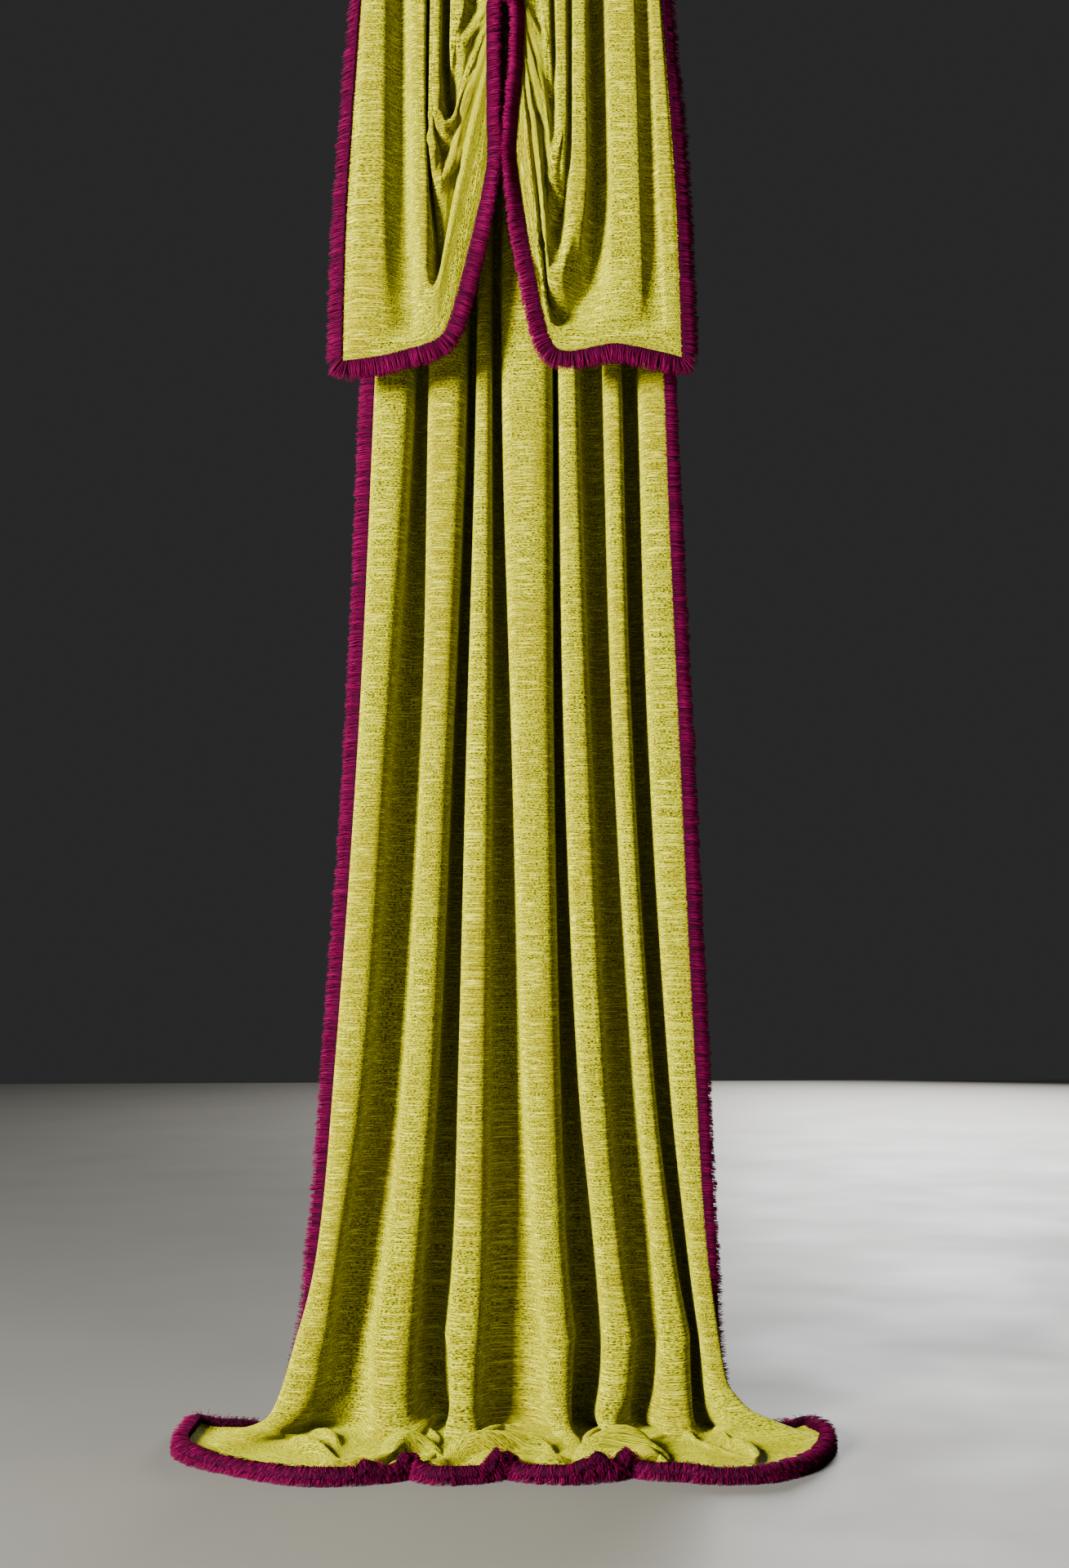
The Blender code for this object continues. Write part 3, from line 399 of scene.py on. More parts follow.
def curve_between(start: np.ndarray, end: np.ndarray, leave: np.ndarray, reach: np.ndarray,
                  share: np.ndarray) -> np.ndarray:
    """Places on a smooth curve between two known ones.

    Args:
        start: the known place before each.
        end: the known place after it.
        leave: the way that the curve leaves the first, as long as the whole step.
        reach: the way that it reaches the second.
        share: how far along the step each place is, from 0 to 1.

    Returns:
        The places.
    """
    rest = 1 - share
    return (
        start * (rest * rest * (1 + 2 * share))
        + end * (share * share * (3 - 2 * share))
        + leave * (share * rest * rest)
        - reach * (share * share * rest)
    )


def smooth_curve(knots: tuple, values: tuple | np.ndarray, t: np.ndarray) -> np.ndarray:
    """Values at t of a smooth curve.

    Args:
        knots: where the curve's values are known, rising.
        values: the values there, numbers or places.
        t: where the curve is wanted.

    Returns:
        One value, or place, for each of t.
    """
    knots = np.asarray(knots, float)
    values = np.asarray(values, float)
    t = np.asarray(t, float)
    last = len(knots) - 1
    order = np.arange(last + 1)
    before, after = np.maximum(order - 1, 0), np.minimum(order + 1, last)
    wide = (-1,) + (1,) * (values.ndim - 1)
    slopes = (values[after] - values[before]) / (knots[after] - knots[before]).reshape(wide)
    i = np.clip(np.searchsorted(knots, t, side="left") - 1, 0, last - 1)
    span = knots[i + 1] - knots[i]
    share = ((t - knots[i]) / span).reshape(wide)
    span = span.reshape(wide)
    return curve_between(values[i], values[i + 1], slopes[i] * span, slopes[i + 1] * span, share)


def unit(vectors: np.ndarray) -> np.ndarray:
    """Vectors of length 1, each in its own direction."""
    return vectors / np.maximum(np.linalg.norm(vectors, axis=-1, keepdims=True), 1e-12)


def way_along(points: np.ndarray) -> np.ndarray:
    """Distance along a line of points from its first.

    Args:
        points: places, whose second last axis runs along the line.

    Returns:
        The distance of each.
    """
    steps = np.linalg.norm(np.diff(points, axis=-2), axis=-1)
    start = np.zeros(steps.shape[:-1] + (1,))
    return np.concatenate([start, np.cumsum(steps, axis=-1)], axis=-1)


def grid_normals(grid: np.ndarray) -> np.ndarray:
    """Ways that a grid of cloth faces, to the front where it hangs.

    Args:
        grid: places, in rows from the top.

    Returns:
        A way of length 1 for each place.
    """
    down = np.gradient(grid, axis=0)
    right = np.gradient(grid, axis=1)
    return unit(np.cross(down, right))


def line_distance(points: np.ndarray, line: np.ndarray) -> tuple[np.ndarray, np.ndarray]:
    """Distance of points in a plane from a line, and how far along it the nearest place is.

    Args:
        points: places in the plane.
        line: the places that the line runs through.

    Returns:
        The distance, and the way along the line, for each point.
    """
    best = np.full(points.shape[:-1], np.inf)
    along = np.zeros(points.shape[:-1])
    passed = 0.0
    for a, b in zip(line[:-1], line[1:]):
        run = b - a
        length = float(np.linalg.norm(run))
        share = np.clip(((points - a) @ run) / length**2, 0.0, 1.0)
        gap = np.linalg.norm(points - a - share[..., None] * run, axis=-1)
        nearer = gap < best
        best = np.where(nearer, gap, best)
        along = np.where(nearer, passed + share * length, along)
        passed += length
    return best, along


def linear(hex_colour: str) -> tuple[float, float, float, float]:
    """Linear colour of an sRGB hex colour.

    Args:
        hex_colour: as "#RRGGBB".

    Returns:
        Red, green, blue and an alpha of 1.
    """
    channels = [int(hex_colour[i:i + 2], 16) / 255 for i in (1, 3, 5)]
    light = [c / 12.92 if c <= 0.04045 else ((c + 0.055) / 1.055) ** 2.4 for c in channels]
    return (*light, 1.0)


def add_node(tree: bpy.types.NodeTree, kind: str, inputs: dict | None = None,
             **settings: object) -> bpy.types.Node:
    """Add a node.

    Args:
        tree: the material's node tree.
        kind: the node's type name.
        inputs: a value, or another node's output to link, for each named input.
        settings: the node's own settings.

    Returns:
        The node.
    """
    node = tree.nodes.new(kind)
    for name, value in settings.items():
        setattr(node, name, value)
    for name, value in (inputs or {}).items():
        if isinstance(value, bpy.types.NodeSocket):
            tree.links.new(value, node.inputs[name])
        else:
            node.inputs[name].default_value = value
    return node


def set_ramp(node: bpy.types.Node, *stops: tuple[float, str]) -> bpy.types.NodeSocket:
    """Give a colour ramp its stops.

    Args:
        node: the ramp.
        stops: the position and the hex colour of each.

    Returns:
        Its colour.
    """
    ramp = node.color_ramp
    while len(ramp.elements) < len(stops):
        ramp.elements.new(0.5)
    for element, (position, colour) in zip(ramp.elements, stops):
        element.position = position
        element.color = linear(colour)
    return node.outputs["Color"]


def new_shader(name: str) -> tuple[bpy.types.Material, bpy.types.NodeTree, bpy.types.Node]:
    """Start a material.

    Args:
        name: its name.

    Returns:
        The material, its node tree and its Principled shader.
    """
    material = bpy.data.materials.new(name)
    material.use_nodes = True
    return material, material.node_tree, material.node_tree.nodes["Principled BSDF"]


def blend(tree: bpy.types.NodeTree, share: bpy.types.NodeSocket, under: bpy.types.NodeSocket,
          over: str) -> bpy.types.NodeSocket:
    """Add a blend of a colour over another.

    Args:
        tree: the material's node tree.
        share: how much of the upper one shows.
        under: the colour below.
        over: hex colour of the one above.

    Returns:
        The colour.
    """
    mix = add_node(tree, "ShaderNodeMix", {"Factor": share, "A": under, "B": linear(over)},
                   data_type="RGBA")
    return mix.outputs["Result"]


def remap(tree: bpy.types.NodeTree, value: bpy.types.NodeSocket, **limits: float
          ) -> bpy.types.NodeSocket:
    """Add a change of range.

    Args:
        tree: the material's node tree.
        value: what is changed.
        limits: from_min, from_max, to_min and to_max, where they aren't 0 and 1.

    Returns:
        The changed value.
    """
    named = {name.replace("_", " ").title(): limit for name, limit in limits.items()}
    return add_node(tree, "ShaderNodeMapRange", {"Value": value, **named}).outputs["Result"]


@dataclass(frozen=True)
class Velvet:
    """Slub velvet: a gold and olive pile with fine pale streaks where thick weft threads show."""

    # Furnishing velvet with a short cotton pile over a slub weft. The pile is matt and takes the light
    # softly, and its tips are worn gold in places, so the eye sees a dry, ribbed, two-coloured cloth.
    # A real slub is about 1 mm high and a tuft of pile under 1 mm. Both are drawn two or three times
    # as coarse, because they wouldn't show from where the whole curtain is seen.
    name: str = "olive_gold_slub_velvet"
    deep: str = "#3C3000"
    body: str = "#827E00"
    light: str = "#CACA00"
    gold: str = "#8A7800"
    streak: str = "#EEE83C"
    sheen: str = "#8CB400"
    streak_length: float = 0.042
    streak_height: float = 0.0028
    mottle_length: float = 0.0046
    mottle_height: float = 0.0022
    tone_size: float = 0.16

    def build(self) -> bpy.types.Material:
        """Make the material. It reads the cloth's own coordinates, in metres."""
        material, tree, shader = new_shader(self.name)
        cloth = add_node(tree, "ShaderNodeUVMap", uv_map="cloth").outputs["UV"]
        streaks = self.noise(tree, cloth, self.streak_length, self.streak_height, 2.0, 0.6)
        threads = self.noise(tree, cloth, self.streak_length * 3, self.streak_height * 0.8, 1.0, 0.5)
        mottle = self.noise(tree, cloth, self.mottle_length, self.mottle_height, 2.0, 0.65)
        tone = self.noise(tree, cloth, self.tone_size, self.tone_size * 2, 2.0, 0.5)
        pile = set_ramp(
            add_node(tree, "ShaderNodeValToRGB", {"Fac": mottle}),
            (0.38, self.deep), (0.50, self.body), (0.61, self.light))
        worn = remap(tree, tone, from_min=0.42, from_max=0.68, to_max=0.45)
        toned = blend(tree, worn, pile, self.gold)
        lines = remap(tree, threads, from_min=0.48, from_max=0.72, to_max=0.55)
        lined = blend(tree, lines, toned, self.light)
        slubs = remap(tree, streaks, from_min=0.57, from_max=0.68, to_max=0.85)
        coloured = blend(tree, slubs, lined, self.streak)
        relief = add_node(tree, "ShaderNodeMath", {0: slubs, 1: mottle}, operation="ADD")
        bump = add_node(tree, "ShaderNodeBump",
                        {"Height": relief.outputs["Value"], "Strength": 0.7, "Distance": 0.0012})
        tree.links.new(coloured, shader.inputs["Base Color"])
        tree.links.new(bump.outputs["Normal"], shader.inputs["Normal"])
        shader.inputs["Roughness"].default_value = 0.85
        shader.inputs["Diffuse Roughness"].default_value = 1.0
        shader.inputs["Specular IOR Level"].default_value = 0.05
        shader.inputs["Sheen Weight"].default_value = 0.12
        shader.inputs["Sheen Roughness"].default_value = 0.45
        shader.inputs["Sheen Tint"].default_value = linear(self.sheen)
        return material

    def noise(self, tree: bpy.types.NodeTree, cloth: bpy.types.NodeSocket, length: float,
              height: float, detail: float, roughness: float) -> bpy.types.NodeSocket:
        """Add noise of a real size on the cloth.

        Args:
            tree: the material's node tree.
            cloth: the cloth's coordinates.
            length: size of a spot along the weft.
            height: its size along the warp.
            detail: how many finer layers it has.
            roughness: how strong they are.

        Returns:
            The noise, from 0 to 1.
        """
        scaled = add_node(tree, "ShaderNodeMapping",
                          {"Vector": cloth, "Scale": (1 / length, 1 / height, 1.0)})
        noise = add_node(tree, "ShaderNodeTexNoise",
                         {"Vector": scaled.outputs["Vector"], "Scale": 1.0, "Detail": detail,
                          "Roughness": roughness}, noise_dimensions="2D")
        return noise.outputs["Fac"]


@dataclass(frozen=True)
class FringeYarn:
    """Cut rayon yarn: soft magenta, darkened by painted shade towards the roots between strands."""

    # Twisted rayon yarn, dyed magenta. It is matt and takes the dye unevenly. Less light gets in
    # between the roots, and that shade is painted into the colour towards each root, so the eye sees
    # a thick soft brush of single threads. Each strand has its own tone. A strand is 1.2 mm thick,
    # about twice as coarse as real, so that each can be laid.
    name: str = "magenta_cut_yarn"
    # deep is both the darkest dyed tone and the colour of the painted shade at the roots
    deep: str = "#260016"
    body: str = "#680036"
    bright: str = "#940052"
    sheen: str = "#A00058"

    def build(self) -> bpy.types.Material:
        """Make the material. It reads each strand's tone, and the way along it, which sets the painted
        shade towards the root.
        """
        material, tree, shader = new_shader(self.name)
        strand = add_node(tree, "ShaderNodeAttribute", attribute_name="strand")
        parts = add_node(tree, "ShaderNodeSeparateColor", {"Color": strand.outputs["Color"]})
        dyed = set_ramp(
            add_node(tree, "ShaderNodeValToRGB", {"Fac": parts.outputs["Red"]}),
            (0.0, self.deep), (0.5, self.body), (1.0, self.bright))
        # painted shade: blends the colour towards deep, 70% at the root and none at the tip
        painted_root_shade = remap(tree, parts.outputs["Green"], to_min=0.7, to_max=0.0)
        tree.links.new(blend(tree, painted_root_shade, dyed, self.deep), shader.inputs["Base Color"])
        shader.inputs["Roughness"].default_value = 0.85
        shader.inputs["Specular IOR Level"].default_value = 0.06
        shader.inputs["Sheen Weight"].default_value = 0.05
        shader.inputs["Sheen Roughness"].default_value = 0.4
        shader.inputs["Sheen Tint"].default_value = linear(self.sheen)
        return material


@dataclass(frozen=True)
class StudioFloor:
    """A plain pale matt floor, which gives the curtain's foot something to lie on."""

    # Painted board, smooth and matt with slightly uneven gloss, so the eye sees a quiet surface
    # with a soft shadow. Its clouds are half a metre wide.
    name: str = "pale_matt_floor"
    body: str = "#827F78"

    def build(self) -> bpy.types.Material:
        """Make the material, with a faint cloudiness."""
        material, tree, shader = new_shader(self.name)
        place = add_node(tree, "ShaderNodeTexCoord").outputs["Object"]
        cloud = add_node(tree, "ShaderNodeTexNoise", {"Vector": place, "Scale": 2.0})
        rough = remap(tree, cloud.outputs["Fac"], to_min=0.5, to_max=0.7)
        tree.links.new(rough, shader.inputs["Roughness"])
        shader.inputs["Base Color"].default_value = linear(self.body)
        return material


def add_mesh(name: str, points: np.ndarray, faces: list[np.ndarray],
             material: bpy.types.Material) -> bpy.types.Object:
    """Add a smooth mesh object.

    Args:
        name: its name.
        points: its places.
        faces: arrays of faces, each with the same number of corners in a row.
        material: its finish.

    Returns:
        The object.
    """
    mesh = bpy.data.meshes.new(name)
    corners = np.concatenate([f.ravel() for f in faces]).astype(np.int32)
    sizes = np.concatenate([np.full(len(f), f.shape[1]) for f in faces]).astype(np.int32)
    starts = np.concatenate([[0], np.cumsum(sizes)[:-1]]).astype(np.int32)
    mesh.vertices.add(len(points))
    mesh.vertices.foreach_set("co", points.astype(np.float32).ravel())
    mesh.loops.add(len(corners))
    mesh.loops.foreach_set("vertex_index", corners)
    mesh.polygons.add(len(sizes))
    mesh.polygons.foreach_set("loop_start", starts)
    mesh.update(calc_edges=True)
    mesh.polygons.foreach_set("use_smooth", np.ones(len(sizes), bool))
    mesh.materials.append(material)
    thing = bpy.data.objects.new(name, mesh)
    bpy.context.scene.collection.objects.link(thing)
    return thing


@dataclass
class EdgeRun:
    """An edge of a cloth with the ways that its fringe takes from it.

    Args:
        place: places along the edge.
        outward: the way out of the cloth at each.
        front: the way that the cloth faces at each.
    """

    place: np.ndarray
    outward: np.ndarray
    front: np.ndarray

    @classmethod
    def beside(cls, edge: np.ndarray, inner: np.ndarray, normal: np.ndarray,
               upright: bool = False, behind: bool = False) -> EdgeRun:
        """Follow a cloth's edge.

        Args:
            edge: places on the edge.
            inner: places on the cloth beside each.
            normal: the way that the cloth faces at each.
            upright: whether the fringe keeps to the plane that faces the front.
            behind: whether it turns behind the cloth near the floor.

        Returns:
            The run along the edge.
        """
        run = unit(np.gradient(edge, axis=0))
        outward = edge - inner
        outward -= run * np.sum(outward * run, axis=1, keepdims=True)
        if upright:
            outward[:, 1] = 0.0
        if behind:
            outward = unit(outward)
            low = np.clip((TURN_BACK - edge[:, 2]) / TURN_BACK_FADE, 0.0, 1.0)
            outward[:, 1] += TURN_BACK_STRENGTH * low
        lying = edge[:, 2] < FLOOR + FLAT_EDGE_BELOW
        outward[lying, 2] = 0.0
        outward = cls.soften(unit(outward))
        along = way_along(edge)
        for way, distance in ((-run, along), (run, along[-1] - along)):
            fan = np.clip(1 - distance / CORNER_FAN, 0.0, 1.0)[:, None]
            outward = unit(outward + way * fan)
        front = unit(np.cross(outward, run))
        front *= np.sign(np.sum(front * normal, axis=1, keepdims=True))
        return cls(edge, outward, front)

    @staticmethod
    def soften(ways: np.ndarray, rounds: int = 6) -> np.ndarray:
        """Even out the ways along the edge.

        Args:
            ways: a way at each place of the edge.
            rounds: times that each is evened out with its neighbours.

        Returns:
            The even ways.
        """
        for _ in range(rounds):
            padded = np.concatenate([ways[:1], ways, ways[-1:]])
            ways = unit(padded[:-2] + 2 * padded[1:-1] + padded[2:])
        return ways

    def length(self) -> float:
        """Length of the edge."""
        return float(way_along(self.place)[-1])

    def at(self, along: np.ndarray) -> tuple[np.ndarray, np.ndarray, np.ndarray]:
        """Look up the edge.

        Args:
            along: distances along it.

        Returns:
            Place, outward way and front way at each.
        """
        known = way_along(self.place)
        found = [
            np.stack([np.interp(along, known, values[:, i]) for i in range(3)], axis=1)
            for values in (self.place, self.outward, self.front)
        ]
        return found[0], unit(found[1]), unit(found[2])


@dataclass
class ClothSheet:
    """A closed thin sheet of cloth over a grid of its back face.

    Args:
        name: the piece's name.
        node: the CAD node that it stands for.
        grid: places of the back face, in rows from the top.
        flat: metres across and down the cut cloth, for each place.
        size: the cut cloth's width and length; not used.
        held: how the cloth is held; not used.
    """

    name: str
    node: str
    grid: np.ndarray
    flat: np.ndarray
    size: tuple[float, float]
    held: str

    def build(self, material: bpy.types.Material) -> bpy.types.Object:
        """Build the sheet with both faces and its rim.

        Args:
            material: its finish.

        Returns:
            The object.
        """
        rows, columns = self.grid.shape[:2]
        count = rows * columns
        back = self.grid.reshape(-1, 3)
        front = back + grid_normals(self.grid).reshape(-1, 3) * CLOTH_THICKNESS
        number = np.arange(count).reshape(rows, columns)
        cells = np.stack([number[:-1, :-1], number[1:, :-1], number[1:, 1:], number[:-1, 1:]],
                         axis=-1).reshape(-1, 4)
        rim = np.concatenate([number[0, ::-1], number[1:, 0], number[-1, 1:], number[-2:0:-1, -1]])
        after = np.roll(rim, -1)
        wall = np.stack([rim, after, after + count, rim + count], axis=-1)
        faces = [cells[:, ::-1], cells + count, wall[:, ::-1]]
        points = np.concatenate([back, front])
        points[:, 2] = np.maximum(points[:, 2], FLOOR)
        sheet = add_mesh(self.name, points, faces, material)
        self.add_flat_map(sheet)
        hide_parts(self.node)
        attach(sheet, "root")
        return sheet

    def add_flat_map(self, sheet: bpy.types.Object) -> None:
        """Give each corner its place on the cut cloth, in metres.

        Args:
            sheet: the sheet's object.
        """
        mesh = sheet.data
        corners = np.empty(len(mesh.loops), np.int32)
        mesh.loops.foreach_get("vertex_index", corners)
        places = np.concatenate([self.flat.reshape(-1, 2)] * 2)
        layer = mesh.uv_layers.new(name="cloth")
        layer.data.foreach_set("uv", places[corners].astype(np.float32).ravel())

    def edge(self, picks: tuple, inner: tuple, upright: bool = False,
             behind: bool = False) -> EdgeRun:
        """Follow an edge of the sheet.

        Args:
            picks: rows and columns of the places on the edge.
            inner: those of the places beside them.
            upright: whether the fringe keeps to the plane that faces the front.
            behind: whether it turns behind the cloth near the floor.

        Returns:
            The run along the edge.
        """
        normals = grid_normals(self.grid)
        return EdgeRun.beside(self.grid[picks], self.grid[inner], normals[picks], upright, behind)


def creased(grid: np.ndarray, creases: tuple[Crease, ...]) -> np.ndarray:
    """Lay creases into cloth.

    Args:
        grid: places of the cloth, in rows from the top.
        creases: what is laid into it.

    Returns:
        The places afterwards.
    """
    normals = grid_normals(grid)
    lift = np.zeros(grid.shape[:2])
    rise = np.zeros(grid.shape[:2])
    for crease in creases:
        line = np.asarray(crease.places, float)
        gap, along = line_distance(grid[..., list(crease.view.value)], line)
        total = float(way_along(line)[-1])
        ends = np.clip(np.minimum(along, total - along) / crease.fade, 0.0, 1.0)
        amount = crease.height * np.exp(-((gap / crease.width) ** 2)) * ends
        if crease.view is View.FRONT:
            lift += amount * np.clip(-normals[..., 1] * CREASE_FACING, 0.0, 1.0)
        else:
            low = (FLOOR + LYING_BELOW - grid[..., 2]) / LYING_FADE
            rise += amount * np.clip(low, 0.0, 1.0)
    laid = grid + normals * lift[..., None]
    laid[..., 2] = np.maximum(laid[..., 2] + rise, FLOOR)
    return laid


@dataclass(frozen=True)
class Settling:
    """Settling of a cloth's foot on the floor, under its own weight.

    Its threads keep their length. It shears easily, and bends no more sharply than its pile allows.

    Args:
        steps: moments that it is followed for.
        rounds: times in each that the threads are drawn back to their length.
        step_time: seconds from one moment to the next.
        damping: share of its speed that it keeps.
        shear: how firmly its cells keep square.
        bending: how firmly it keeps flat.
        crowding: numbers of cells, each with the least share of its flat length that it keeps.
        crowding_firmness: how firmly it does.
        touch: height over the floor below which the floor grips.
        grip: share of a sideways move that the floor takes away.
        smoothing: rounds of evening out afterwards.
        evening: share of the way to its neighbours' middle that a place goes in each.
    """

    steps: int = 70
    rounds: int = 10
    step_time: float = 0.012
    damping: float = 0.85
    shear: float = 0.2
    bending: float = 0.35
    crowding: tuple = ((2, 0.95), (5, 0.72))
    crowding_firmness: float = 0.5
    touch: float = 0.001
    grip: float = 0.6
    smoothing: int = 4
    evening: float = 0.5

    def links(self, across: np.ndarray, down: np.ndarray) -> list[tuple]:
        """Pairs of places that keep a distance.

        Args:
            across: length of the weft from each place to the next in its row.
            down: length of the warp from each place to the next in its column.

        Returns:
            The two sets of places, their distance, how firmly they keep it, and whether they may
            be further apart, for each link.
        """
        rows, columns = down.shape[0] + 1, across.shape[1] + 1
        every = slice(None)
        found = []
        for start in (0, 1):
            row, lower = slice(start, rows - 1, 2), slice(start + 1, rows, 2)
            column, further = slice(start, columns - 1, 2), slice(start + 1, columns, 2)
            left, right = slice(0, -1), slice(1, None)
            slant = np.hypot(across[row], down[row, :-1])
            found += [
                ((row, every), (lower, every), down[row], 1.0, False),
                ((every, column), (every, further), across[:, column], 1.0, False),
                ((row, left), (lower, right), slant, self.shear, False),
                ((row, right), (lower, left), slant, self.shear, False),
            ]
        for span, least in self.crowding:
            wide = sum(across[:, i:across.shape[1] - span + 1 + i] for i in range(span))
            tall = sum(down[i:down.shape[0] - span + 1 + i] for i in range(span))
            for start in range(2 * span):
                column = slice(start, columns - span, 2 * span)
                further = slice(start + span, columns, 2 * span)
                row = slice(start, rows - span, 2 * span)
                lower = slice(start + span, rows, 2 * span)
                sideways, along = ((every, column), (every, further)), ((row, every), (lower, every))
                found += [
                    (*sideways, wide[:, column], self.bending, False),
                    (*along, tall[row], self.bending, False),
                    (*sideways, wide[:, column] * least, self.crowding_firmness, True),
                    (*along, tall[row] * least, self.crowding_firmness, True),
                ]
        return found

    def settle(self, start: np.ndarray, held: int, across: np.ndarray, down: np.ndarray
               ) -> np.ndarray:
        """Let the cloth settle.

        Args:
            start: grid of its places at the start.
            held: rows at its top that keep theirs.
            across: length of the weft from each place to the next in its row.
            down: length of the warp from each place to the next in its column.

        Returns:
            The grid of its places at rest.
        """
        places = start.copy()
        loose = np.ones(places.shape[:2])
        loose[:held] = 0.0
        loose[-HELD_HEM:] = 0.0
        loose[:, :HELD_LEFT] = 0.0
        loose[:, -HELD_RIGHT:] = 0.0
        links = self.links(across, down)
        speed = np.zeros_like(places)
        weight = np.array([0.0, 0.0, -GRAVITY]) * self.step_time
        for _ in range(self.steps):
            before = places.copy()
            speed += weight * loose[..., None]
            places += speed * self.step_time
            for _ in range(self.rounds):
                for first, second, distance, firm, slack in links:
                    self.keep(places, loose, first, second, distance, firm, slack)
                places[..., 2] = np.maximum(places[..., 2], FLOOR)
            move = places - before
            lying = places[..., 2] < FLOOR + self.touch
            move[lying, :2] *= 1 - self.grip
            places = before + move
            speed = move / self.step_time * self.damping
        for _ in range(self.smoothing):
            middle = places[1:-1, 1:-1]
            around = (places[:-2, 1:-1] + places[2:, 1:-1]
                      + places[1:-1, :-2] + places[1:-1, 2:]) / 4
            middle += (around - middle) * self.evening * loose[1:-1, 1:-1, None]
        order = np.arange(places.shape[1])
        inside = np.minimum(order - HELD_LEFT, places.shape[1] - 1 - HELD_RIGHT - order)
        share = np.clip(inside / EASED_COLUMNS, 0.0, 1.0)[None, :, None]
        return start + (places - start) * share

    @staticmethod
    def keep(places: np.ndarray, loose: np.ndarray, first: tuple, second: tuple,
             distance: np.ndarray, firm: float, slack: bool) -> None:
        """Move linked places towards their distance from each other.

        Args:
            places: grid of places, which changes.
            loose: 0 for a place that is held, and 1 for any other.
            first: picks the links' first places.
            second: picks their second ones.
            distance: what each link keeps.
            firm: share of the error that is put right.
            slack: whether the places may be further apart.
        """
        gap = places[second] - places[first]
        length = np.maximum(np.sqrt(np.einsum("ijk,ijk->ij", gap, gap)), 1e-9)
        wrong = (length - distance) / length
        if slack:
            wrong = np.minimum(wrong, 0.0)
        one, other = loose[first], loose[second]
        move = gap * (wrong * firm / np.maximum(one + other, 1.0))[..., None]
        places[first] += move * one[..., None]
        places[second] -= move * other[..., None]


class Strip(IntEnum):
    """Part of the long panel that a column of its grid belongs to."""

    LEFT_EDGE = 0
    CREST = 1
    VALLEY = 2
    RIGHT_EDGE = 3


